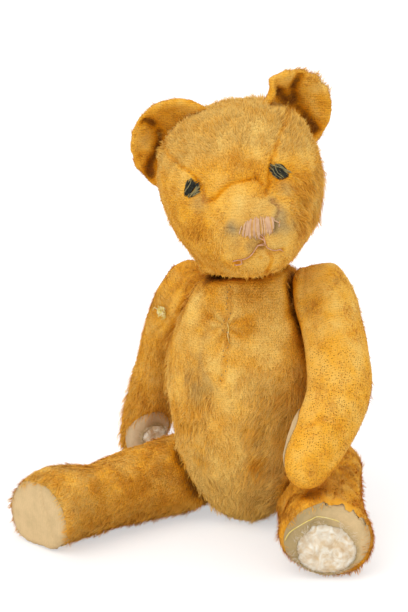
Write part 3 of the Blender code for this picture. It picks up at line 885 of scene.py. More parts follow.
def wrap_uv(mesh, origin, axis, front):
    """Unrolls the surface round an axis: U runs round it and V along it, in millimetres."""
    axis = unit(np.asarray(axis, float))
    front = unit(np.asarray(front, float) - axis * np.dot(front, axis))
    side = np.cross(axis, front)
    offset = points_of(mesh) - np.asarray(origin)
    along = offset @ axis
    across = offset - along[:, None] * axis
    radius = np.linalg.norm(across, axis=1)
    mean = float(np.percentile(radius, 70))
    turn = np.arctan2(across @ side, across @ front)
    layer = mesh.uv_layers.new(name="weave")
    corners = np.empty(len(mesh.loops), np.int32)
    mesh.loops.foreach_get("vertex_index", corners)
    around = turn[corners]
    starts = np.array([polygon.loop_start for polygon in mesh.polygons])
    totals = np.array([polygon.loop_total for polygon in mesh.polygons])
    first = np.repeat(around[starts], totals)
    around = first + (around - first + math.pi) % (2 * math.pi) - math.pi
    placed = np.stack([around * mean / MM, along[corners] / MM], axis=1)
    layer.data.foreach_set("uv", placed.astype(np.float32).ravel())


def flow(mesh, direction):
    """The direction laid flat on the surface at each vertex."""
    normals = normals_of(mesh)
    direction = np.broadcast_to(np.asarray(direction, float), normals.shape)
    return unit(direction - (direction * normals).sum(1)[:, None] * normals)


def keep_off_floor(mesh):
    """Keeps the plush off the ground by the thickness of its squashed pile."""
    points = points_of(mesh)
    points[:, 2] = np.maximum(points[:, 2], FLOOR_ROOM)
    put_points(mesh, points)


def finish_cover(part, mesh, uv_frame, comb, **painted):
    """Stores what the pile and the cloth need, and makes the part's plush."""
    wrap_uv(mesh, *uv_frame)
    count = len(mesh.vertices)
    for name, value in painted.items():
        value = np.broadcast_to(np.asarray(value, float), count)
        paint(mesh, name, np.maximum(value, 0.0) if "length" in name else np.clip(value, 0.0, 1.0))
    paint(mesh, "comb", comb)
    mesh.materials.clear()
    mesh.materials.append(finish_named("plush"))
    mesh.shade_smooth()
    SKINS[part] = new_object(f"{part}_plush", mesh)
    TREES[part] = tree_of(mesh)


def dress(piece, body, slot, *replaced):
    """Hangs a finished piece on its body."""
    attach(piece, body)
    if replaced:
        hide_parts(*replaced)


def body_of(part):
    """The body that a part rides on."""
    return "head" if part.startswith("ear") else part


# ------------------------------------------------------------------ torso


def torso_cover():
    """The torso's plush: its closing seam with the pucker, the seam down its back, the mend."""
    mesh = plush_form("torso")
    chest, belly, spine = millimetres(CHEST), millimetres(BELLY), millimetres(SPINE)
    mend = millimetres(MEND)
    stuffed("torso", mesh, (chest, belly, spine))
    chest, belly, spine, mend = settled(mesh, chest, belly, spine, mend)
    points, normals = points_of(mesh), normals_of(mesh)
    pucker, stain, tuft = (np.array(place) * MM for place in (PUCKER, STAIN, TUFT))
    move = clouds(points, 22 * MM, 1) * 0.9 * MM
    move -= 1.6 * MM * groove(points, chest, 1.7 * MM)
    move += 1.1 * MM * groove(points, chest, 6 * MM) * (1 - groove(points, chest, 2.4 * MM))
    move -= 0.3 * MM * groove(points, belly, 1.6 * MM) + 0.8 * MM * groove(points, spine, 1.5 * MM)
    move += 0.4 * MM * groove(points, mend, 1.8 * MM)
    move -= 1.6 * MM * spot(points, pucker, 7 * MM, 1.0)
    # Folds run out from the pucker on both sides of the closing seam
    away = points - pucker
    turn = np.arctan2(away[:, 2], np.abs(away[:, 0]))
    spread = step(1 * MM, 7 * MM, np.linalg.norm(away, axis=1))
    fold = np.cos(turn * 7.0) * spot(points, pucker, 24 * MM, 0.9) * spread
    move += 1.8 * MM * fold
    # The cloth stands up round the neck, and the bottom is plumped out towards the left thigh
    neck, _ = joint_of("head")
    move += 0.9 * MM * step(32 * MM, 24 * MM, np.linalg.norm(points - np.array(neck), axis=1))
    for place, radius, height in HAUNCHES:
        move += height * MM * spot(points, np.array(place) * MM, radius * MM, 0.9)
    front = step(0.1, 0.75, -normals[:, 1])
    move += clouds(points * np.array([1.0, 1.0, 0.6]), 9 * MM, 2) * 0.9 * MM * front
    put_points(mesh, points + normals * move[:, None])
    keep_off_floor(mesh)

    points, normals = points_of(mesh), normals_of(mesh)
    low, high = (np.array(corner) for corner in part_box("torso_cover"))
    height = (points[:, 2] - low[2]) / (high[2] - low[2])
    aside = (points[:, 0] - (low[0] + high[0]) / 2) / ((high[0] - low[0]) / 2)
    front = step(0.0, 0.6, -normals[:, 1])
    patches = clouds(points, 13 * MM, 3)
    lower = step(0.72, 0.50, height)
    belly_left = front * step(0.0, 0.35, aside) * lower
    bald = front * step(0.66, 0.74, height + 0.08 * patches)
    pile = 0.55 + 0.35 * patches + 0.5 * belly_left - 0.75 * bald + 0.1 * (1 - front)
    pile += 0.4 * front * step(0.35, 0.2, height)
    pile *= 1 - 0.9 * spot(points, (-0.014, -0.041, 0.106), 15 * MM, 0.4)
    seams = np.maximum(groove(points, chest, 1.3 * MM), groove(points, spine, 1.3 * MM))
    length = (5.5 + 3.5 * belly_left + 1.5 * patches - 1.5 * bald + 1.5 * (1 - front)) * MM
    down = np.array([0.0, -0.2, -1.0])
    slant = np.array([-0.75, 0.0, -0.9])
    comb = flow(mesh, down) * (1 - belly_left[:, None]) + flow(mesh, slant) * belly_left[:, None]
    comb = unit(comb + 0.55 * drift(points, 15 * MM, 4))
    shade = spot(points, tuft, 9 * MM, 0.8)
    dye = 0.18 + 0.18 * patches + 0.12 * (1 - front) + 0.5 * shade
    for place, radius, depth in SMUDGES:
        dye += depth * spot(points, np.array(place) * MM, radius * MM, 0.9)
    # Darker towards the sides; painted light makes the lower front, which faces down, paler
    dye += 0.10 * step(0.5, 0.95, np.abs(aside)) - 0.36 * step(0.36, 0.12, height) * front
    soil = 0.5 * spot(points, stain, 17 * MM, 0.9) * step(-0.3, 0.3, patches)
    mended = groove(points, mend, 2.4 * MM) * 0.4
    soil += mended * (0.7 + 0.6 * patches) + 0.4 * spot(points, pucker, 3.5 * MM, 0.8)
    # Painted shade darkens the seams, the chest seam's groove and the hollows of the folds
    dye += 0.35 * seams + 0.5 * groove(points, chest, 0.9 * MM) + 0.25 * np.clip(-fold, 0, 1)
    finish_cover(
        "torso",
        mesh,
        ((low + high) / 2, (0, 0, 1), (0, -1, 0)),
        comb,
        pile=pile * (1 - 0.8 * seams),
        length=length,
        nap=(0.75 + 0.4 * patches) * (1 - 0.8 * seams),
        nap_length=(1.9 + 0.6 * patches) * MM,
        dye=dye,
        soil=soil,
        bare=0.35 + 0.3 * bald,
    )


# ------------------------------------------------------------------ head


def head_matrix():
    """The head's own frame at the middle of its filling: X its left, -Y forward, Z its crown."""
    middle = centre_of("head_filling")
    across = (centre_of("eye_left") - centre_of("eye_right")).normalized()
    ahead = centre_of("nose_stitching") - middle
    ahead = (ahead - across * ahead.dot(across)).normalized()
    up = across.cross(-ahead)
    return Matrix.Translation(middle) @ Matrix((across, -ahead, up)).transposed().to_4x4()


def in_frame(points, matrix):
    """Points in another frame."""
    inverse = np.array(matrix.inverted())
    return points @ inverse[:3, :3].T + inverse[:3, 3]


def out_of_frame(points, matrix):
    """Points of another frame in the scene's own."""
    grid = np.array(matrix)
    return np.asarray(points, float) @ grid[:3, :3].T + grid[:3, 3]


def on_head(path, spacing=1.5):
    """A path on the head, in the scene's own frame."""
    return out_of_frame(millimetres(path, spacing), head_matrix())


def head_cover():
    """The head's plush: its seams over the brows and snout, and the lumps and hollows of its face."""
    mesh = plush_form("head")
    matrix = head_matrix()
    brow, bridge, gusset, chin = (on_head(path) for path in (BROW, BRIDGE, GUSSET, CHIN))
    stuffed("head", mesh, (brow, bridge, gusset, chin))
    paths = [on_head(path) for path in (MOUTH_DROP, MOUTH_RIGHT, MOUTH_LEFT, NOSE_EDGE, NOSE_SLIT)]
    lines = settled(mesh, brow, bridge, gusset, chin, *paths)
    brow, bridge, gusset, chin, drop, mouth_right, mouth_left, nose_edge, nose_slit = lines
    points, normals = points_of(mesh), normals_of(mesh)
    local = in_frame(points, matrix) / MM
    move = clouds(points, 24 * MM, 11) * 0.8
    for line, depth, width in (
        (brow, 1.0, 1.4),
        (bridge, 1.6, 1.8),
        (gusset, 1.2, 1.4),
        (chin, 1.2, 1.3),
        (mouth_right, 2.4, 1.7),
        (mouth_left, 2.0, 1.6),
        (drop, 2.0, 1.6),
        (nose_edge, 1.6, 1.2),
        (nose_slit, 1.0, 0.5),
    ):
        move -= depth * groove(points, line, width * MM)
    for place, radius, height in FACE_LUMPS:
        move += height * spot(local, place, radius, 1.0)
    for eye in (EYE_RIGHT, EYE_LEFT):
        move -= 2.4 * spot(local, eye, 9.0, 1.0)
    move -= 1.2 * spot(local, CHIN_HOLE, 1.8, 0.8)
    put_points(mesh, points + normals * move[:, None] * MM)

    points, normals = points_of(mesh), normals_of(mesh)
    local = in_frame(points, matrix) / MM
    x, y, z = local.T
    face = step(0, -26, y)
    patches = clouds(points, 12 * MM, 12)
    snout = spot(local, (13, -58, -6), 27, 0.5)
    forehead = face * step(8, 14, z) * step(40, 30, z)
    cheek_right = face * step(-5, -22, x) * step(14, 6, z)
    cheek_left = step(26, 38, x + 0.4 * z) * step(20, 8, z)
    crown = step(26, 40, z + 0.25 * np.abs(x))
    eyes = np.maximum(spot(local, EYE_RIGHT, 8.5, 0.4), spot(local, EYE_LEFT, 8.5, 0.4))
    pile = 0.50 + 0.35 * patches - 0.30 * forehead - 0.30 * cheek_right - 0.7 * snout
    pile += 0.6 * crown + 0.75 * cheek_left
    pile *= 1 - eyes
    length = 3.6 + 1.1 * patches + 1.2 * crown + 3.0 * cheek_left - 0.8 * forehead
    world = np.array(matrix.to_3x3())
    away = unit(local - np.array([13, -60, 4]))
    comb = flow(mesh, away @ world.T)
    hang = step(16, -12, z)[:, None]
    hang = np.maximum(hang, cheek_left[:, None])
    comb = unit(comb * (1 - 0.8 * hang) + hang * flow(mesh, world @ np.array([-0.15, 0.2, -1.0])))
    comb = unit(comb + 0.5 * drift(points, 12 * MM, 14))
    *creases, nose_edge, nose_slit = settled(mesh, *lines)
    seams = np.maximum.reduce([groove(points, line, 1.3 * MM) for line in creases])
    # Painted shade darkens the seams and the creases of the mouth
    dye = 0.33 + 0.15 * patches - 0.18 * crown + 0.12 * cheek_right - 0.10 * snout + 0.42 * seams
    dye += 0.20 * spot(local, (36, -30, 14), 17, 0.9)
    under = np.maximum(spot(local, (-1, -57, -2), 9, 0.8), spot(local, (29, -55, -5), 11, 0.7))
    soil = 0.60 * under * step(-0.5, 0.2, patches)
    soil += 0.3 * spot(local, (14, -60, -14), 20, 0.6) * step(0, 0.5, patches)
    by_eyes = np.maximum(spot(local, (-20, -38, 8), 9, 0.9), spot(local, (31, -37, 10), 8, 0.9))
    soil += 0.45 * by_eyes + 0.22 * snout
    soil += 0.5 * groove(points, nose_edge, 2.4 * MM) + 0.14 * crown
    soil += 0.22 * groove(points, nose_slit, 2.6 * MM)
    # Painted shade darkens the creases round the nose and the sockets of the eyes; the chin's hole is
    # darker too
    dye += 0.8 * groove(points, nose_edge, 0.9 * MM) + 0.3 * groove(points, nose_slit, 0.6 * MM)
    eye_socket_shade = np.maximum(spot(local, EYE_RIGHT, 8, 0.7), spot(local, EYE_LEFT, 8, 0.7))
    dye += 0.8 * spot(local, CHIN_HOLE, 1.8, 0.5) + 0.3 * eye_socket_shade
    finish_cover(
        "head",
        mesh,
        (matrix.translation, world @ np.array([0, 0, 1.0]), world @ np.array([0, -1.0, 0])),
        comb,
        pile=pile * (1 - 0.8 * seams),
        length=length * MM,
        nap=(0.8 + 0.3 * patches - 0.1 * snout) * (1 - eyes) * (1 - 0.8 * seams),
        nap_length=(1.7 + 0.6 * patches - 0.3 * snout) * MM,
        dye=dye,
        soil=soil,
        bare=0.30 + 0.15 * cheek_right,
    )


# ------------------------------------------------------------------ limbs


def limb_measures(part, points):
    """For each point: share of the limb's length from its joint, and height over its joint's plane."""
    pin, axis = joint_of(part)
    offset = points - pin
    over = offset @ axis
    reach = np.linalg.norm(offset - over[:, None] * axis, axis=1)
    return reach / float(np.percentile(reach, 99.5)), over


def limb_seam(part, mesh):
    """The closed seam round a limb, half way through its thickness."""
    pin, axis = joint_of(part)
    points = points_of(mesh)
    over = (points - pin) @ axis
    middle = points.mean(0)
    level = (middle - pin) @ axis
    offset = points - middle
    first = unit(middle - pin - ((middle - pin) @ axis) * axis)
    second = np.cross(axis, first)
    turn = np.arctan2(offset @ second, offset @ first)
    reach = np.linalg.norm(offset - ((offset @ axis)[:, None] * axis), axis=1)
    slices = 40
    rim = []
    for number in range(slices):
        angle = -math.pi + (number + 0.5) * 2 * math.pi / slices
        near = (np.abs(turn - angle) < math.pi / slices) & (np.abs(over - level) < 3 * MM)
        if near.any():
            chosen = np.flatnonzero(near)
            rim.append(points[chosen[np.argmax(reach[chosen])]])
    return np.array([*rim, rim[0]])


def limb_cover(part, wrinkles=0.8, creases=(), bulges=(), **painted):
    """A limb's plush, combed towards its paw or sole. painted holds a rule for each attribute, from
    the points, their share of the limb's length and their patches of noise."""
    mesh = plush_form(part)
    seam = limb_seam(part, mesh)
    stuffed(part, mesh, (seam, *creases))
    seam, *creases = settled(mesh, seam, *creases)
    seed = sum(map(ord, part)) % 97
    points, normals = points_of(mesh), normals_of(mesh)
    share, over = limb_measures(part, points)
    move = clouds(points, 20 * MM, seed) * 0.8
    folds = np.array([noise.noise(Vector((s * 14.0, seed, 0.0))) for s in share])
    move += folds * wrinkles * step(0.45, 0.58, share) * step(0.82, 0.68, share)
    move -= 0.9 * groove(points, seam, 1.2 * MM)
    for crease in creases:
        move -= 2.2 * groove(points, crease, 1.7 * MM)
    for place, radius, height in bulges:
        move += height * spot(points / MM, place, radius, 1.0)
    put_points(mesh, points + normals * (move * MM * step(0.5 * MM, 6 * MM, over))[:, None])
    keep_off_floor(mesh)
    points, normals = points_of(mesh), normals_of(mesh)
    share, over = limb_measures(part, points)
    patches = clouds(points, 12 * MM, seed + 1)
    pin, axis = joint_of(part)
    offset = points - pin
    way = unit(offset - (offset @ axis)[:, None] * axis)
    tangent = unit(way - (way * normals).sum(1)[:, None] * normals)
    comb = unit(tangent + np.array([0.0, 0.0, -0.35]) + 0.4 * drift(points, 13 * MM, seed + 2))
    middle = points.mean(0)
    values = {"soil": 0.10 * step(0.3, 0.7, patches)}
    values.update((name, rule(points, share, patches)) for name, rule in painted.items())
    finish_cover(part, mesh, (middle, middle - pin, axis), comb, **values)


def limb_covers():
    """The plush of the four limbs, each as worn as it is."""
    elbow = millimetres(ELBOW)
    limb_cover(
        "arm_left",
        0.8,
        (elbow,),
        (((74, -38, 104), 40, 3.0),),
        pile=lambda points, share, patches: 0.10 + 0.3 * patches + 0.4 * step(0.25, 0.05, share),
        length=lambda points, share, patches: (3.2 + patches) * MM,
        nap=lambda points, share, patches: 0.30 + 0.35 * patches + 0.3 * step(0.4, 0.15, share),
        nap_length=lambda points, share, patches: (1.3 + 0.4 * patches) * MM,
        # Painted shade darkens the crease at the elbow
        dye=lambda points, share, patches: (
            0.30 + 0.12 * patches + 0.12 * step(0.6, 0.9, share) + 0.30 * groove(points, elbow, 2 * MM)
        ),
        bare=lambda points, share, patches: (
            0.45 + 0.7 * step(0.25, 0.45, share) - 0.4 * step(0.75, 0.95, share)
        ),
    )
    limb_cover(
        "arm_right",
        1.0,
        pile=lambda points, share, patches: 0.35 + 0.3 * patches + 0.4 * step(0.35, 0.7, share),
        length=lambda points, share, patches: (4.0 + patches + 2.5 * step(0.4, 0.7, share)) * MM,
        nap=lambda points, share, patches: 0.9 + 0.2 * patches,
        nap_length=lambda points, share, patches: (1.9 + 0.5 * patches) * MM,
        dye=lambda points, share, patches: 0.38 + 0.18 * patches,
        bare=lambda points, share, patches: 0.3 + 0.2 * patches,
    )
    limb_cover(
        "leg_left",
        0.8,
        bulges=(((30, -46, 38), 20, 4.5), ((24, -48, 16), 26, 8.0)),
        pile=lambda points, share, patches: 0.6 + 0.35 * patches,
        length=lambda points, share, patches: (5.0 + 1.2 * patches) * MM,
        nap=lambda points, share, patches: 0.9 + 0.2 * patches,
        nap_length=lambda points, share, patches: (2.0 + 0.5 * patches) * MM,
        dye=lambda points, share, patches: 0.46 + 0.18 * patches,
        bare=lambda points, share, patches: 0.3,
    )
    limb_cover(
        "leg_right",
        0.4,
        bulges=(((-112, -62, 46), 24, 3.5), ((-86, -46, 44), 16, -1.5)),
        pile=lambda points, share, patches: 1.0 + 0.2 * patches,
        length=lambda points, share, patches: (4.6 + 0.8 * patches) * MM,
        nap=lambda points, share, patches: 1.0,
        nap_length=lambda points, share, patches: 2.4 * MM,
        dye=lambda points, share, patches: 0.40 + 0.14 * patches - 0.16 * step(0.55, 1.0, share),
        soil=lambda points, share, patches: 0.0,
        bare=lambda points, share, patches: 0.2,
    )


# ------------------------------------------------------------------ ears


def ear_cover(name, folds):
    """A cupped double layer of plush, folded, its rim soft and, on the left ear, moth-eaten."""
    moth_eaten = name == "ear_left"
    mesh = largest_island(remeshed(joined_nodes([name]), EAR_VOXEL))
    mesh = smoothed(mesh, 6)
    points, normals = points_of(mesh), normals_of(mesh)
    middle = points.mean(0)
    head = np.array(centre_of("head_cover"))
    out = unit(middle - head)
    rim = step(0.3, 1.0, ((points - middle) @ out) / (18 * MM))
    ragged = 1.5 if moth_eaten else 0.5
    move = clouds(points, 7 * MM, 31) * 0.8
    move += clouds(points, 4 * MM, 36) * ragged * rim
    # Cupped in front, and sewn down into the head at its root
    bowl = spot(points, middle + (head - middle) * 0.15, 17 * MM, 0.8) * step(0.1, 0.6, -normals[:, 1])
    move -= 2.0 * bowl
    gaps = np.array([TREES["head"].find_nearest(Vector(point))[3] for point in points])
    sewn = 3.5 * MM * step(9 * MM, 1 * MM, gaps)
    folds = settled(mesh, *(millimetres(fold) for fold in folds))
    creased = np.maximum.reduce([groove(points, fold, 3.0 * MM) for fold in folds])
    creased *= step(0.0, 0.3, -normals[:, 1])
    move -= 2.6 * creased
    put_points(mesh, points + normals * move[:, None] * MM - out * sewn[:, None])
    points, normals = points_of(mesh), normals_of(mesh)
    if moth_eaten:
        place, pull, radius = (np.array(value) * MM for value in EAR_TUCK)
        put_points(mesh, points + spot(points, place, radius, 0.9)[:, None] * pull)
        points, normals = points_of(mesh), normals_of(mesh)
    patches = clouds(points, 8 * MM, 32)
    inside = step(0.1, 0.6, -normals[:, 1])
    deepest = middle + (head - middle) * 0.36 + np.array([0, -4 * MM, 0])
    hollow_shade = spot(points, deepest, 17 * MM, 1.0) * inside
    comb = unit(flow(mesh, middle - head) + 0.5 * drift(points, 9 * MM, 34))
    finish_cover(
        name,
        mesh,
        (middle, (0, 0, 1), (0, -1, 0)),
        comb,
        pile=0.4 + 0.4 * patches - 0.3 * inside + (0.8 * rim if moth_eaten else 0.0),
        length=(2.6 + 1.2 * patches + (1.6 * rim if moth_eaten else 0.0)) * MM,
        nap=0.8 + 0.3 * patches,
        nap_length=(1.4 + 0.4 * patches) * MM,
        # Painted shade darkens the hollow of the cup and the folds
        dye=0.40 + 0.18 * patches + 0.40 * hollow_shade + 0.60 * creased - 0.22 * rim,
        soil=0.0,
        bare=0.35,
    )


# ------------------------------------------------------------------ pads


class Pad:
    """Where a pad lies: its middle, the ways across, up and out of it, and its half sizes."""

    def __init__(self, part, scale, slip=0.0):
        points = points_of(joined_nodes([pad_node(part)]))
        self.part = part
        self.middle = points.mean(0)
        _, axes = np.linalg.eigh(np.cov((points - self.middle).T))
        self.out = axes[:, 0]
        if np.dot(self.out, TREES[part].find_nearest(Vector(self.middle))[1]) < 0:
            self.out = -self.out
        pin, _ = joint_of(part)
        guide = pin - self.middle if part.startswith("arm") else np.array([0.0, 0.0, 1.0])
        self.up = unit(guide - (guide @ self.out) * self.out)
        self.across = np.cross(self.up, self.out)
        self.half = [
            float(np.ptp((points - self.middle) @ axis)) / 2 * scale for axis in (self.across, self.up)
        ]
        self.middle = self.middle - self.up * slip

    def flat(self, point):
        """A point's place across and up the pad."""
        offset = np.asarray(point, float) - self.middle
        return np.array([offset @ self.across, offset @ self.up])

    def rim(self, centre, turn):
        """The distance from a place on the pad to its rim, in one direction."""
        way = np.array([math.cos(turn), math.sin(turn)])
        half = np.array(self.half)
        start, slope = centre / half, way / half
        a, b, c = slope @ slope, start @ slope, start @ start - 1
        return (-b + math.sqrt(b * b - a * c)) / a

    def laid(self, flat, lift):
        """A place on the pad, laid on the plush with this lift."""
        point = Vector(self.middle + self.across * flat[0] + self.up * flat[1])
        out = Vector(self.out)
        tree = TREES[self.part]
        place, normal, _, far = tree.ray_cast(point + out * PAD_REACH, -out)
        if place is None or far > PAD_REACH + 8 * MM:
            place, normal = tree.find_nearest(point)[:2]
        return place + normal * lift


def tear_radii(tear, spokes):
    """How far the edge of a hole lies from its middle, along each spoke."""
    radii = np.array([*tear[1], tear[1][0]]) * MM
    return np.interp(np.arange(spokes) / spokes * len(tear[1]), np.arange(len(radii)), radii)


def disc_mesh(bm, rings, pad, name):
    """The disc between rings of vertices, the first of which may be one point, facing out of a pad."""
    join_rings(bm, rings)
    bmesh.ops.remove_doubles(bm, verts=bm.verts, dist=1e-6)
    bm.normal_update()
    if sum(face.normal.dot(Vector(pad.out)) for face in bm.faces) < 0:
        bmesh.ops.reverse_faces(bm, faces=bm.faces)
    return mesh_from(bm, name)


def pad_patch(name, pad, finish, tear=None, shade=(0.0, 0.0)):
    """A pad sewn round its rim. tear holds the middle of a hole and its radii by direction.
    shade is the way across and up to its dirtiest side, as long as the dirt is dark."""
    spokes, rings = 120, 16
    lift = 1.2 * MM
    centre = np.zeros(2) if tear is None else pad.flat(tear[0])
    inner = np.zeros(spokes)
    if tear is not None:
        ragged = random.Random(5)
        inner = tear_radii(tear, spokes)
        inner += np.array([ragged.uniform(-0.5, 0.5) for _ in range(spokes)]) * MM
    bm = bmesh.new()
    grid = []
    soil_layer = bm.verts.layers.float.new("soil")
    for i in range(rings + 1):
        row = []
        for j in range(spokes):
            turn = 2 * math.pi * j / spokes
            outer = pad.rim(centre, turn)
            start = min(inner[j], outer * 0.96)
            share = i / rings
            reach = start + (outer - start) * share
            flat = centre + np.array([math.cos(turn), math.sin(turn)]) * reach
            if tear is None and i == 0:
                flat = centre
            edge = step(0.80, 1.0, np.array(reach / outer))
            height = lift * (1 - 0.5 * edge)
            height += 0.10 * MM * math.sin(turn * 26) * step(0.70, 0.95, np.array(reach / outer))
            if tear is not None:
                curl = step(0.16, 0.0, np.array(share))
                height += curl * (0.8 + 0.7 * noise.noise(Vector((turn * 5, 3.1, 0)))) * MM
            wave = noise.noise(Vector((flat[0], flat[1], 0)) / (9 * MM))
            place = pad.laid(flat, float(height) + 0.35 * MM * wave * (1 - float(edge)))
            vertex = bm.verts.new(place)
            torn = 0.75 * step(0.45, 0.0, np.array(share)) if tear is not None else 0.0
            side = max(0.0, math.cos(turn) * shade[0] + math.sin(turn) * shade[1]) * reach / outer
            vertex[soil_layer] = float(0.30 * edge + torn + side)
            row.append(vertex)
        grid.append(row)
    host = new_object(name, disc_mesh(bm, grid, pad, name))
    wall = host.modifiers.new("wall", "SOLIDIFY")
    wall.thickness = 0.6 * MM
    wall.offset = -1.0
    mesh = baked(host)
    mesh.materials.clear()
    mesh.materials.append(finish_named(finish))
    mesh.shade_smooth()
    piece = new_object(name, mesh)
    dress(piece, pad.part, "pad_cloth", pad_node(pad.part))


def kapok_tuft(name, pad, tear, seed, swell):
    """Stuffing that bulges in a torn pad, as a matted lump of a height given in millimetres."""
    centre = pad.flat(tear[0])
    spokes, rings = 96, 26
    holes = tear_radii(tear, spokes)
    bm = bmesh.new()
    grid = []
    for i in range(rings + 1):
        row = []
        for j in range(spokes):
            turn = 2 * math.pi * j / spokes
            reach = min(holes[j] * 1.18, pad.rim(centre, turn) * 0.93) * i / rings
            flat = centre + np.array([math.cos(turn), math.sin(turn)]) * reach
            share = i / rings
            place = Vector((flat[0], flat[1], seed * MM))
            lumps = noise.fractal(place / (7 * MM), 1.0, 2.0, 3)
            fine = noise.fractal(place / (2.2 * MM), 1.0, 2.0, 2)
            height = 0.2 + (1.0 - share**3) * (swell + 1.3 * lumps + 0.35 * fine)
            row.append(bm.verts.new(pad.laid(flat, height * MM)))
        grid.append(row)
    mesh = disc_mesh(bm, grid, pad, name)
    mesh.materials.append(finish_named("kapok"))
    mesh.shade_smooth()
    count = len(mesh.vertices)
    points, normals = points_of(mesh), normals_of(mesh)
    wander = drift(points, 5 * MM, seed)
    paint(mesh, "comb", unit(wander - (wander * normals).sum(1)[:, None] * normals * 0.6))
    paint(mesh, "pile", np.full(count, 0.8))
    paint(mesh, "length", np.full(count, 5.0 * MM))
    piece = new_object(name, mesh)
    dress(piece, pad.part, "kapok_filling")
    return piece


# ------------------------------------------------------------------ threads


def thread_mesh(bm, places, outs, radius, number, sides=6):
    """Adds a round thread along places to a mesh, tapered and closed at its ends."""
    rings = []
    last = len(places) - 1
    for i, place in enumerate(places):
        tangent = (places[min(i + 1, last)] - places[max(i - 1, 0)]).normalized()
        side = tangent.cross(outs[i]).normalized()
        up = side.cross(tangent)
        thick = radius * (0.45 if i in (0, last) else 1.0)
        ring = []
        for k in range(sides):
            turn = 2 * math.pi * k / sides
            ring.append(bm.verts.new(place + (side * math.cos(turn) + up * math.sin(turn)) * thick))
        rings.append(ring)
    for first, second in zip(rings, rings[1:]):
        for k in range(sides):
            j = (k + 1) % sides
            bm.faces.new((first[k], first[j], second[j], second[k])).material_index = number
    bm.faces.new(rings[0]).material_index = number
    bm.faces.new(list(reversed(rings[-1]))).material_index = number


def laid_path(part, path, lift):
    """A path laid on a part's plush: its places and the ways out of the plush there."""
    tree = TREES[part]
    places, outs = [], []
    for point in path:
        place, out = tree.find_nearest(Vector(point))[:2]
        places.append(place + out * lift)
        outs.append(out)
    return places, outs


def thread_piece(name, part, threads, finishes, slot, *replaced):
    """One piece of several threads: each a path, its lift, its radius and the number of its finish."""
    bm = bmesh.new()
    for path, lift, radius, number in threads:
        places, outs = laid_path(part, path, lift)
        thread_mesh(bm, places, outs, radius, number)
    bmesh.ops.recalc_face_normals(bm, faces=bm.faces)
    mesh = mesh_from(bm, name)
    for finish in finishes:
        mesh.materials.append(finish_named(finish))
    mesh.shade_smooth()
    dress(new_object(name, mesh), body_of(part), slot, *replaced)


def eye_threads(name, middle, slant, length, width, seed):
    """What is left of an eye: crossed turns of dark thread, rubbed grey in places."""
    matrix = head_matrix()
    draw = random.Random(seed)
    middle = np.array(middle, float)
    turn = math.radians(slant)
    along = np.array([math.cos(turn), 0.0, math.sin(turn)])
    across = np.array([-math.sin(turn), 0.0, math.cos(turn)])
    threads = []
    turns = 46
    for number in range(turns):
        aside = draw.uniform(-1, 1) * width / 2
        half = length / 2 * math.sqrt(max(0.12, 1 - (2 * aside / width) ** 2)) * draw.uniform(0.7, 1.05)
        skew = draw.uniform(-0.35, 0.35) if number % 3 else draw.uniform(-1.1, 1.1)
        start = middle + across * aside - along * half
        stop = middle + across * (aside + skew * half) + along * half
        bend = across * draw.uniform(-0.8, 0.8)
        path = [start + (stop - start) * t + bend * math.sin(math.pi * t) for t in np.linspace(0, 1, 7)]
        path = out_of_frame(np.array(path) * MM, matrix)
        worn = 1 if draw.random() < 0.34 else 0
        layer = 0.25 + 0.75 * number / turns
        threads.append((path, layer * MM, draw.uniform(0.24, 0.38) * MM, worn))
    thread_piece(name, "head", threads, ("eye", "eye_worn"), "dark_thread", name)


def nose_threads():
    """Satin stitches laid side by side across the snout's end, worn flat."""
    matrix = head_matrix()
    draw = random.Random(3)
    threads = []
    middle = np.array(NOSE_MIDDLE, float)
    count = 40
    for number in range(count):
        share = (number + 0.5) / count * 2 - 1
        if draw.random() < 0.12 + 0.5 * abs(share) ** 3:
            continue
        x = middle[0] + share * 12.0
        half = 7.4 * math.sqrt(max(0.0, 1 - abs(share) ** 2.4)) * draw.uniform(0.72, 1.04)
        lean, rise = 0.12 * share, 0.09 * share * 10
        top = np.array([x - lean * half + 0.6, middle[1], middle[2] + half + rise])
        foot = np.array([x + lean * half - 0.6, middle[1], middle[2] - half + rise])
        path = [top + (foot - top) * t for t in np.linspace(0, 1, 9)]
        lift = (0.15 + 0.30 * draw.random()) * MM
        worn = 1 if draw.random() < 0.35 else 0
        threads.append((out_of_frame(np.array(path) * MM, matrix), lift, 0.36 * MM, worn))
    thread_piece("nose_floss", "head", threads, ("nose", "nose_worn"), "rose_thread", "nose_stitching")


def mouth_threads():
    """The mouth's threads, two side by side in each line."""
    threads = []
    draw = random.Random(9)
    for path, radius in ((MOUTH_DROP, 0.38), (MOUTH_RIGHT, 0.33), (MOUTH_LEFT, 0.28)):
        line = on_head(path, 1.2)
        way = np.array([1.0, 0.0, 0.0] if path is MOUTH_DROP else [0.0, 0.0, 1.0])
        for aside in (-0.2, 0.2):
            threads.append((line + way * aside * MM, draw.uniform(0.3, 0.5) * MM, radius * MM, 0))
    thread_piece("mouth_floss", "head", threads, ("mouth",), "rose_thread", "mouth_stitching")


def tangle(middle, size, count, seed):
    """Tightly curled threads about a place, as paths."""
    draw = random.Random(seed)
    paths = []
    for _ in range(count):
        point = np.array(middle) + np.array([draw.uniform(-1, 1) for _ in range(3)]) * size * 0.4
        way = unit(np.array([draw.uniform(-1, 1) for _ in range(3)]))
        path = [point]
        for _ in range(9):
            home = (np.array(middle) - path[-1]) / size
            way = unit(way + 0.5 * home + 0.8 * np.array([draw.uniform(-1, 1) for _ in range(3)]))
            path.append(path[-1] + way * size * 0.17)
        paths.append(np.array(path))
    return paths


# ------------------------------------------------------------------ hand stitches


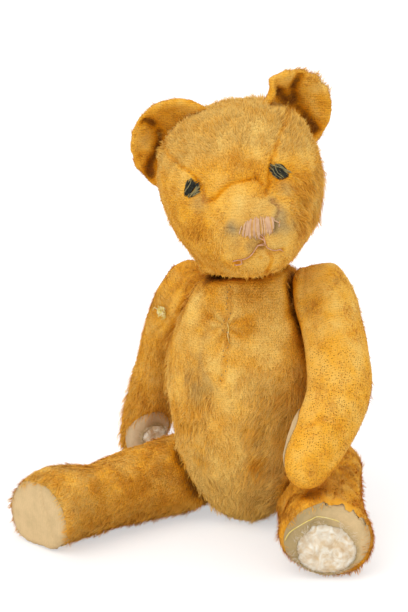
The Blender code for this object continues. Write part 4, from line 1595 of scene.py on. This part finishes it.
def stitch_object():
    """One stitch along X, 1 long, 1 thick, arched out of the cloth on Z."""
    bm = bmesh.new()
    places = [Vector((x, 0, 0.55 * math.cos(math.pi * x) - 0.15)) for x in (-0.5, -0.3, 0, 0.3, 0.5)]
    ways = [Vector((0, math.cos(k * math.pi / 3), math.sin(k * math.pi / 3))) for k in range(6)]
    rings = []
    for i, place in enumerate(places):
        thick = 0.3 if i in (0, 4) else 0.5
        rings.append([bm.verts.new(place + way * thick) for way in ways])
    join_rings(bm, rings)
    bm.faces.new(rings[0])
    bm.faces.new(rings[-1])
    bmesh.ops.recalc_face_normals(bm, faces=bm.faces)
    return new_object("stitch", mesh_from(bm, "stitch"))


def open_inputs(tree, kinds):
    """Adds the tree's inputs and returns their identifiers and the node that gives them."""
    sockets = {}
    for name, kind in kinds:
        socket = tree.interface.new_socket(name, in_out="INPUT", socket_type=f"NodeSocket{kind}")
        sockets[name] = socket.identifier
    return sockets, add_node(tree, "NodeGroupInput").outputs


def named(tree, attribute, kind="FLOAT"):
    """What is painted on the host under this name."""
    return add_node(tree, "GeometryNodeInputNamedAttribute", {"Name": attribute}, data_type=kind)


def stitch_tree():
    """Geometry Nodes that sew arched stitches along a line of edges."""
    tree = bpy.data.node_groups.new("hand_stitches", "GeometryNodeTree")
    sockets, given = open_inputs(
        tree,
        (
            ("Seam", "Geometry"),
            ("Stitch", "Object"),
            ("Finish", "Material"),
            ("Spacing", "Float"),
            ("Length", "Float"),
            ("Thickness", "Float"),
            ("Slant", "Float"),
            ("Wander", "Float"),
            ("Seed", "Int"),
        ),
    )
    tree.interface.new_socket("Stitches", in_out="OUTPUT", socket_type="NodeSocketGeometry")
    curve = add_node(tree, "GeometryNodeMeshToCurve", {"Mesh": given["Seam"]})
    curve = add_node(
        tree, "GeometryNodeResampleCurve", {"Curve": curve, "Length": given["Spacing"]}, mode="LENGTH"
    )
    out = named(tree, "out", "FLOAT_VECTOR")
    upright = add_node(tree, "FunctionNodeAlignRotationToVector", {"Vector": out}, axis="Z")
    along = add_node(
        tree,
        "FunctionNodeAlignRotationToVector",
        {"Rotation": upright, "Vector": add_node(tree, "GeometryNodeInputTangent")},
        axis="X",
        pivot_axis="Z",
    )
    draw = add_node(
        tree,
        "FunctionNodeRandomValue",
        {"Min": -1.0, "Max": 1.0, "Seed": given["Seed"]},
        data_type="FLOAT",
    )
    angle = add_node(
        tree,
        "ShaderNodeMath",
        {0: draw, 1: given["Wander"], 2: given["Slant"]},
        operation="MULTIPLY_ADD",
    )
    turn = add_node(tree, "FunctionNodeAxisAngleToRotation", {"Axis": (0, 0, 1), "Angle": angle})
    turned = add_node(
        tree,
        "FunctionNodeRotateRotation",
        {"Rotation": along, "Rotate By": turn},
        rotation_space="LOCAL",
    )
    size = add_node(
        tree,
        "ShaderNodeCombineXYZ",
        {"X": given["Length"], "Y": given["Thickness"], "Z": given["Thickness"]},
    )
    stitch = add_node(tree, "GeometryNodeObjectInfo", {"Object": given["Stitch"]})
    sewn = add_node(
        tree,
        "GeometryNodeInstanceOnPoints",
        {"Points": curve, "Instance": stitch.outputs["Geometry"], "Rotation": turned, "Scale": size},
    )
    sewn = add_node(tree, "GeometryNodeRealizeInstances", {"Geometry": sewn})
    sewn = add_node(tree, "GeometryNodeSetMaterial", {"Geometry": sewn, "Material": given["Finish"]})
    add_node(tree, "NodeGroupOutput", {0: sewn})
    return tree, sockets


def grown(host_mesh, tree, sockets, values, finish, name):
    """The mesh that a node tree grows on a host, as a plain object."""
    host = new_object("host", host_mesh)
    nodes = host.modifiers.new("grow", "NODES")
    nodes.node_group = tree
    for key, value in {**values, "Finish": finish_named(finish)}.items():
        nodes[sockets[key]] = value
    mesh = baked(host)
    mesh.materials.clear()
    mesh.materials.append(finish_named(finish))
    mesh.shade_smooth()
    return new_object(name, mesh)


def sewn_line(name, part, path, tree, sockets, stitch, finish, slant=0.0, wander=0.25, **changes):
    """Sews stitches along a path on a part."""
    sizes = bpy.context.scene.bear_sizes
    places, outs = laid_path(part, path, 0.2 * MM)
    mesh = bpy.data.meshes.new("line")
    mesh.from_pydata(places, [(i, i + 1) for i in range(len(places) - 1)], [])
    paint(mesh, "out", np.array(outs))
    values = {
        "Stitch": stitch,
        "Spacing": sizes.stitch * 1.35,
        "Length": sizes.stitch,
        "Thickness": sizes.stitch_width,
        "Slant": slant,
        "Wander": wander,
        "Seed": sizes.seed,
        **changes,
    }
    dress(grown(mesh, tree, sockets, values, finish, name), body_of(part), "dark_thread")


# ------------------------------------------------------------------ pile


def strand_object(segments):
    """A flat tapering strand, 1 long on Z and 1 wide on X at its root."""
    verts = []
    for i in range(segments):
        t = i / segments
        half = 0.5 * (1 - 0.55 * t)
        verts += [(-half, 0, t), (half, 0, t)]
    verts.append((0, 0, 1))
    faces = [(2 * i, 2 * i + 1, 2 * i + 3, 2 * i + 2) for i in range(segments - 1)]
    faces.append((2 * segments - 2, 2 * segments - 1, 2 * segments))
    mesh = bpy.data.meshes.new("strand")
    mesh.from_pydata(verts, [], faces)
    return new_object("strand", mesh)


def pile_tree():
    """Geometry Nodes that plant strands on a skin and lay them along its painted comb."""
    tree = bpy.data.node_groups.new("mohair_pile", "GeometryNodeTree")
    sockets, given = open_inputs(
        tree,
        (
            ("Skin", "Geometry"),
            ("Strand", "Object"),
            ("Finish", "Material"),
            ("Where", "String"),
            ("How long", "String"),
            ("Strands per square metre", "Float"),
            ("Width", "Float"),
            ("Lift", "Float"),
            ("Stray", "Float"),
            ("Wave", "Float"),
            ("Lock size", "Float"),
            ("Locking", "Float"),
            ("Seed", "Int"),
        ),
    )
    tree.interface.new_socket("Pile", in_out="OUTPUT", socket_type="NodeSocketGeometry")

    def stored(geometry, attribute, value, kind="FLOAT_VECTOR"):
        return add_node(
            tree,
            "GeometryNodeStoreNamedAttribute",
            {"Geometry": geometry, "Name": attribute, "Value": value},
            data_type=kind,
            domain="POINT",
        )

    def maths(operation, *values):
        return add_node(tree, "ShaderNodeMath", dict(enumerate(values)), operation=operation)

    def scaled(vector, factor):
        return add_node(tree, "ShaderNodeVectorMath", {0: vector, "Scale": factor}, operation="SCALE")

    def vectors(operation, first, second):
        return add_node(tree, "ShaderNodeVectorMath", {0: first, 1: second}, operation=operation)

    thick = maths("MULTIPLY", given["Strands per square metre"], named(tree, given["Where"]))
    planted = add_node(
        tree,
        "GeometryNodeDistributePointsOnFaces",
        {"Mesh": given["Skin"], "Density": thick, "Seed": given["Seed"]},
    )
    # Each point keeps its place, the way out of the skin, its length and its own random draws
    roots = stored(planted.outputs["Points"], "root", add_node(tree, "GeometryNodeInputPosition"))
    roots = stored(roots, "out", planted.outputs["Normal"])
    roots = stored(roots, "reach", named(tree, given["How long"]), "FLOAT")
    draw = add_node(
        tree,
        "FunctionNodeRandomValue",
        {0: (-1.0, -1.0, -1.0), 1: (1.0, 1.0, 1.0), "Seed": given["Seed"]},
        data_type="FLOAT_VECTOR",
    )
    roots = stored(roots, "stray", draw)
    shade = add_node(tree, "FunctionNodeRandomValue", {"Seed": 3}, data_type="FLOAT")
    roots = stored(roots, "own", shade, "FLOAT")
    strand = add_node(tree, "GeometryNodeObjectInfo", {"Object": given["Strand"]})
    strands = add_node(
        tree, "GeometryNodeInstanceOnPoints", {"Points": roots, "Instance": strand.outputs["Geometry"]}
    )
    pile = add_node(tree, "GeometryNodeRealizeInstances", {"Geometry": strands})

    # On the realised strand: how far across and along it each vertex is
    root, out, comb, stray = (
        named(tree, name, "FLOAT_VECTOR") for name in ("root", "out", "comb", "stray")
    )
    local = vectors("SUBTRACT", add_node(tree, "GeometryNodeInputPosition"), root)
    split = add_node(tree, "ShaderNodeSeparateXYZ", {0: local})
    across, along = split.outputs["X"], split.outputs["Z"]
    pile = stored(pile, "along", along, "FLOAT")
    own = add_node(
        tree, "ShaderNodeMapRange", {"Value": named(tree, "own"), "To Min": 0.5, "To Max": 1.15}
    )
    length = maths("MULTIPLY", named(tree, "reach"), own)
    reach = maths("MULTIPLY", along, length)
    square = maths("MULTIPLY", reach, along)
    rise = maths("MULTIPLY", maths("MULTIPLY_ADD", square, -0.5, reach), given["Lift"])
    run = maths("MULTIPLY", maths("MULTIPLY_ADD", reach, 0.5, square), 0.65)
    curl = add_node(tree, "ShaderNodeTexNoise", {"Vector": root, "Scale": 170.0, "Detail": 1.0})
    curl = vectors("SUBTRACT", curl.outputs["Color"], (0.5, 0.5, 0.5))
    fine = maths("DIVIDE", 1.0, given["Lock size"])
    lock = add_node(tree, "ShaderNodeTexVoronoi", {"Vector": root, "Scale": fine})
    pull = vectors("SUBTRACT", lock.outputs["Position"], root)
    hold = maths("MULTIPLY", maths("MULTIPLY", along, along), given["Locking"])
    breadth = vectors("ADD", vectors("CROSS_PRODUCT", comb, out), scaled(stray, 0.6))
    breadth = vectors("NORMALIZE", breadth, (0, 0, 0))
    place = root
    for part in (
        scaled(out, rise),
        scaled(comb, run),
        scaled(stray, maths("MULTIPLY", reach, given["Stray"])),
        scaled(curl, maths("MULTIPLY", square, given["Wave"])),
        scaled(pull, hold),
        scaled(breadth, maths("MULTIPLY", across, given["Width"])),
    ):
        place = vectors("ADD", place, part)
    axes = add_node(tree, "ShaderNodeSeparateXYZ", {0: place})
    floor = maths("MAXIMUM", axes.outputs["Z"], 0.15 * MM)
    place = add_node(
        tree, "ShaderNodeCombineXYZ", {0: axes.outputs["X"], 1: axes.outputs["Y"], 2: floor}
    )
    pile = add_node(tree, "GeometryNodeSetPosition", {"Geometry": pile, "Position": place})
    # The strands' finish needs only along, own, soil and the painted dye and shade
    for name in ("root", "out", "stray", "comb", "reach", "length", "nap_length", "pile", "nap", "bare"):
        pile = add_node(tree, "GeometryNodeRemoveAttribute", {"Geometry": pile, "Name": name})
    pile = add_node(tree, "GeometryNodeSetMaterial", {"Geometry": pile, "Material": given["Finish"]})
    add_node(tree, "NodeGroupOutput", {0: pile})
    return tree, sockets


def clear_pile(part):
    """Thins and shortens a part's pile where a neighbour presses on it and under its pad, and paints shade
    near its neighbours.
    """
    skin = SKINS[part].data
    points = points_of(skin)
    away = np.full(len(points), 1.0)
    reach = 14 * MM
    for other, tree in TREES.items():
        if other == part or {other, part} <= {"head", "ear_left", "ear_right"}:
            continue
        found = [tree.find_nearest(Vector(point), reach)[3] for point in points]
        away = np.minimum(away, np.array([1.0 if d is None else d for d in found]))
    room = (step(0.0, 10 * MM, away) + 0.3) * (0.35 + 0.65 * step(1 * MM, 9 * MM, points[:, 2]))
    open_air = step(0.8 * MM, 2.5 * MM, away)
    for pad in PADS:
        if pad.part == part:
            offset = points - pad.middle
            flat = np.hypot(offset @ pad.across / pad.half[0], offset @ pad.up / pad.half[1])
            facing = offset @ pad.out > -14 * MM
            open_air = open_air * np.where(facing, step(0.93, 1.0, flat), 1.0)
    values = np.empty(len(points), np.float32)
    for name, factor in (("length", room), ("nap_length", room), ("pile", open_air), ("nap", open_air)):
        skin.attributes[name].data.foreach_get("value", values)
        paint(skin, name, values * np.clip(factor, 0, 1))
    # Painted shade where parts meet, with the unfaded pile that the folds keep
    skin.attributes["dye"].data.foreach_get("value", values)
    paint(skin, "dye", np.clip(values + 0.7 * step(9 * MM, 0.5 * MM, away), 0, 1))


# ------------------------------------------------------------------ stage


def make_stage():
    """White paper under and round the bear, and three soft suns."""
    scene = bpy.context.scene
    world = bpy.data.worlds.new("studio")
    scene.world = world
    world.use_nodes = True
    tree = world.node_tree
    tree.nodes.clear()
    seen = add_node(tree, "ShaderNodeLightPath")
    direct = add_node(
        tree,
        "ShaderNodeMath",
        {0: seen.outputs["Is Camera Ray"], 1: seen.outputs["Is Glossy Ray"]},
        operation="MAXIMUM",
    )
    soft = add_node(tree, "ShaderNodeBackground", {"Color": linear("#ffffff"), "Strength": 0.8})
    white = add_node(tree, "ShaderNodeBackground", {"Color": linear("#ffffff"), "Strength": 1.0})
    shown = add_node(tree, "ShaderNodeMixShader", {0: direct, 1: soft, 2: white})
    add_node(tree, "ShaderNodeOutputWorld", {"Surface": shown})

    mesh = bpy.data.meshes.new("floor")
    side = 4.0
    corners = [(-side, -side, 0), (side, -side, 0), (side, side, 0), (-side, side, 0)]
    mesh.from_pydata(corners, [], [(0, 1, 2, 3)])
    floor = new_object("floor", mesh)
    made = bpy.data.materials.new("white_paper")
    made.use_nodes = True
    tree = made.node_tree
    tree.nodes.clear()
    seen = add_node(tree, "ShaderNodeLightPath")
    paper = add_node(tree, "ShaderNodeBsdfDiffuse", {"Color": linear("#f2f1ee")})
    bright = add_node(tree, "ShaderNodeBsdfDiffuse", {"Color": (1.0, 1.0, 1.0, 1.0)})
    glow = add_node(tree, "ShaderNodeEmission", {"Color": (1.0, 1.0, 1.0, 1.0), "Strength": 1.15})
    lit = add_node(tree, "ShaderNodeMixShader", {0: 0.45, 1: bright, 2: glow})
    shown = add_node(tree, "ShaderNodeMixShader", {0: seen.outputs["Is Camera Ray"], 1: paper, 2: lit})
    add_node(tree, "ShaderNodeOutputMaterial", {"Surface": shown})
    mesh.materials.append(made)

    for name, azimuth, elevation, strength, spread, colour in (
        ("key", -35, 52, 1.05, 50, "#fffaf2"),
        ("fill", 50, 30, 0.45, 90, "#f8faff"),
        ("back", 170, 50, 0.4, 70, "#ffffff"),
    ):
        lamp = bpy.data.lights.new(name, "SUN")
        lamp.energy = strength
        lamp.angle = math.radians(spread)
        lamp.color = linear(colour)[:3]
        obj = bpy.data.objects.new(name, lamp)
        scene.collection.objects.link(obj)
        obj.location = view_from(azimuth, elevation)
        obj.rotation_euler = obj.location.to_track_quat("Z", "Y").to_euler()
    scene.view_settings.view_transform = "Standard"


def view_from(azimuth, elevation):
    """The unit way to a viewer, in degrees round from the front and up."""
    azimuth, elevation = math.radians(azimuth), math.radians(elevation)
    flat = math.cos(elevation)
    return Vector((math.sin(azimuth) * flat, -math.cos(azimuth) * flat, math.sin(elevation)))


def make_camera():
    """A long lens, a little above the bear and to its left."""
    back = view_from(*CAMERA_WAY)
    turn = math.radians(CAMERA_WAY[0])
    right = Vector((math.cos(turn), math.sin(turn), 0.0))
    aim = back.cross(right) * CAMERA_AIM[1] + right * CAMERA_AIM[0]
    data = bpy.data.cameras.new("camera")
    data.lens = 120.0
    data.sensor_width = 36.0
    camera = bpy.data.objects.new("camera", data)
    bpy.context.scene.collection.objects.link(camera)
    camera.location = aim + back * CAMERA_AWAY
    camera.rotation_euler = back.to_track_quat("Z", "Y").to_euler()
    bpy.context.scene.camera = camera


# ------------------------------------------------------------------ operators


class BEAR_OT_stage(bpy.types.Operator):
    """Sets the floor, the lamps and the camera"""

    bl_idname = "bear.stage"
    bl_label = "Stage"

    def execute(self, context):
        make_camera()
        make_stage()
        return {"FINISHED"}


class BEAR_OT_covers(bpy.types.Operator):
    """Makes the plush of the torso, the head, the limbs and the ears"""

    bl_idname = "bear.covers"
    bl_label = "Plush covers"

    def execute(self, context):
        torso_cover()
        head_cover()
        limb_covers()
        ear_cover("ear_left", EAR_LEFT_FOLDS)
        ear_cover("ear_right", EAR_RIGHT_FOLDS)
        for part, skin in SKINS.items():
            ear = part.startswith("ear")
            nodes = (part,) if ear else (f"{part}_cover", f"{part}_filling")
            dress(skin, body_of(part), "mohair_plush", *nodes)
        return {"FINISHED"}


class BEAR_OT_pads(bpy.types.Operator):
    """Sews on the paw pads and the soles, two of them torn, with stuffing in the holes"""

    bl_idname = "bear.pads"
    bl_label = "Pads and stuffing"

    def execute(self, context):
        for part, scale, slip in (
            ("arm_left", 1.0, 0.0),
            ("arm_right", 0.88, 8 * MM),
            ("leg_left", 1.0, 0.0),
            ("leg_right", 1.0, 0.0),
        ):
            PADS.append(Pad(part, scale, slip))
        arm_left, arm_right, leg_left, leg_right = PADS
        pad_patch("left_paw_pad", arm_left, "pad")
        pad_patch("right_paw_pad", arm_right, "rose_pad", ARM_TEAR)
        pad_patch("left_sole", leg_left, "pad", LEG_TEAR, shade=(-1.0, 0.4))
        pad_patch("right_sole", leg_right, "pad")
        tree, sockets = pile_tree()
        strand = strand_object(3)
        for name, pad, tear, swell in (
            ("left_sole_kapok", leg_left, LEG_TEAR, 1.3),
            ("right_paw_kapok", arm_right, ARM_TEAR, 3.2),
        ):
            lump = kapok_tuft(name, pad, tear, 5, swell)
            values = {
                "Strand": strand,
                "Where": "pile",
                "How long": "length",
                "Strands per square metre": 1.6e6,
                "Width": 0.16 * MM,
                "Lift": 0.35,
                "Stray": 0.45,
                "Wave": 1.6,
                "Lock size": 5 * MM,
                "Locking": 0.2,
                "Seed": 11,
            }
            fluff = grown(lump.data.copy(), tree, sockets, values, "kapok", f"{name}_fibres")
            dress(fluff, pad.part, "kapok_filling")
        bpy.data.objects.remove(strand)
        return {"FINISHED"}


class BEAR_OT_face(bpy.types.Operator):
    """Stitches what is left of the eyes, the nose and the mouth"""

    bl_idname = "bear.face"
    bl_label = "Face"

    def execute(self, context):
        eye_threads("eye_right", EYE_RIGHT, 42, 11.5, 8.0, 21)
        eye_threads("eye_left", EYE_LEFT, -52, 11.0, 8.0, 22)
        nose_threads()
        mouth_threads()
        return {"FINISHED"}


class BEAR_OT_seams(bpy.types.Operator):
    """Sews the closing seams, the mends and the pads' edges, and lays the loose threads"""

    bl_idname = "bear.seams"
    bl_label = "Seams"

    def execute(self, context):
        tree, sockets = stitch_tree()
        stitch = stitch_object()
        chest = millimetres(CHEST)
        sewn_line(
            "chest_stitches", "torso", chest, tree, sockets, stitch, "grey_thread",
            slant=0.5, wander=0.5, Length=1.2 * MM, Thickness=0.34 * MM,
        )
        sewn_line(
            "brow_stitches", "head", on_head(BROW), tree, sockets, stitch, "cloth_thread",
            slant=0.1, Length=1.4 * MM, Thickness=0.26 * MM,
        )
        for pad in PADS:
            ring = []
            for turn in np.linspace(0, 2 * math.pi, 97):
                flat = np.array([math.cos(turn) * pad.half[0], math.sin(turn) * pad.half[1]]) * 0.985
                ring.append(pad.laid(flat, 0.0))
            sewn_line(
                f"{pad.part}_pad_stitches", pad.part, ring, tree, sockets, stitch, "grey_thread",
                slant=0.5, wander=0.4, Spacing=1.7 * MM, Length=1.8 * MM, Thickness=0.3 * MM,
            )
        bpy.data.objects.remove(stitch)
        threads = [(millimetres(SOLE_THREAD), 1.4 * MM, 0.34 * MM, 0)]
        thread_piece("left_sole_thread", "leg_left", threads, ("thread",), "dark_thread")
        paths = tangle(np.array(ARM_KNOT) * MM, 5.0 * MM, 26, 4)
        knot = [(path, 1.6 * MM, 0.28 * MM, 0) for path in paths]
        thread_piece("right_arm_threads", "arm_right", knot, ("thread",), "dark_thread")
        loose = chest[15:24] + np.array([0.8 * MM, 0.0, 0.0])
        threads = [(loose, 0.9 * MM, 0.24 * MM, 0)]
        thread_piece("chest_thread", "torso", threads, ("thread",), "dark_thread")
        return {"FINISHED"}


class BEAR_OT_pile(bpy.types.Operator):
    """Grows the nap and the long mohair that are left on the plush"""

    bl_idname = "bear.pile"
    bl_label = "Mohair pile"

    def execute(self, context):
        sizes = context.scene.bear_sizes
        for part in SKINS:
            clear_pile(part)
        tree, sockets = pile_tree()
        short, long = strand_object(1), strand_object(3)
        for part, skin in SKINS.items():
            dense = 1.6 if part == "leg_right" else 1.0
            for kind, strand, values in (
                (
                    "nap",
                    short,
                    {
                        "Where": "nap",
                        "How long": "nap_length",
                        "Strands per square metre": sizes.nap_density / MM**2,
                        "Width": sizes.nap_width,
                        "Lift": 0.5,
                        "Stray": 0.35,
                        "Wave": 0.5,
                        "Locking": 0.0,
                    },
                ),
                (
                    "pile",
                    long,
                    {
                        "Where": "pile",
                        "How long": "length",
                        "Strands per square metre": sizes.pile_density * dense / MM**2,
                        "Width": sizes.hair_width,
                        "Lift": 0.42,
                        "Stray": 0.2,
                        "Wave": 1.0,
                        "Locking": 0.4,
                    },
                ),
            ):
                values.update({"Strand": strand, "Lock size": 6 * MM, "Seed": sizes.seed + len(part)})
                piece = grown(skin.data.copy(), tree, sockets, values, "pile", f"{part}_{kind}")
                dress(piece, body_of(part), "mohair_plush")
        bpy.data.objects.remove(short)
        bpy.data.objects.remove(long)
        return {"FINISHED"}


class BEAR_OT_fittings(bpy.types.Operator):
    """Gives the joints' discs, washers and pins their finishes"""

    bl_idname = "bear.fittings"
    bl_label = "Joints"

    def execute(self, context):
        for name, node in NODES.items():
            if "_disc_" in name:
                finish = "millboard"
            elif "_washer_" in name or name.endswith("_pin"):
                finish = "steel"
            else:
                continue
            node.data.materials.clear()
            node.data.materials.append(finish_named(finish))
        return {"FINISHED"}


class BEAR_PT_panel(bpy.types.Panel):
    """Shows the bear's colours, sizes and steps in the sidebar"""

    bl_label = "Bear"
    bl_idname = "BEAR_PT_panel"
    bl_space_type = "VIEW_3D"
    bl_region_type = "UI"
    bl_category = "Bear"

    def draw(self, context):
        for settings in (context.scene.bear_colours, context.scene.bear_sizes):
            for name in settings.__annotations__:
                self.layout.prop(settings, name)
        for operator in OPERATORS:
            self.layout.operator(operator.bl_idname)


OPERATORS = (
    BEAR_OT_stage,
    BEAR_OT_covers,
    BEAR_OT_pads,
    BEAR_OT_face,
    BEAR_OT_seams,
    BEAR_OT_pile,
    BEAR_OT_fittings,
)
CLASSES = (BearColours, BearSizes, *OPERATORS, BEAR_PT_panel)


def register():
    for item in CLASSES:
        bpy.utils.register_class(item)
    bpy.types.Scene.bear_colours = bpy.props.PointerProperty(type=BearColours)
    bpy.types.Scene.bear_sizes = bpy.props.PointerProperty(type=BearSizes)


def unregister():
    del bpy.types.Scene.bear_colours
    del bpy.types.Scene.bear_sizes
    for item in reversed(CLASSES):
        bpy.utils.unregister_class(item)


def main():
    register()
    bpy.ops.bear.stage()
    bpy.ops.bear.covers()
    bpy.ops.bear.pads()
    bpy.ops.bear.face()
    bpy.ops.bear.seams()
    bpy.ops.bear.pile()
    bpy.ops.bear.fittings()


if __name__ == "__main__":
    main()
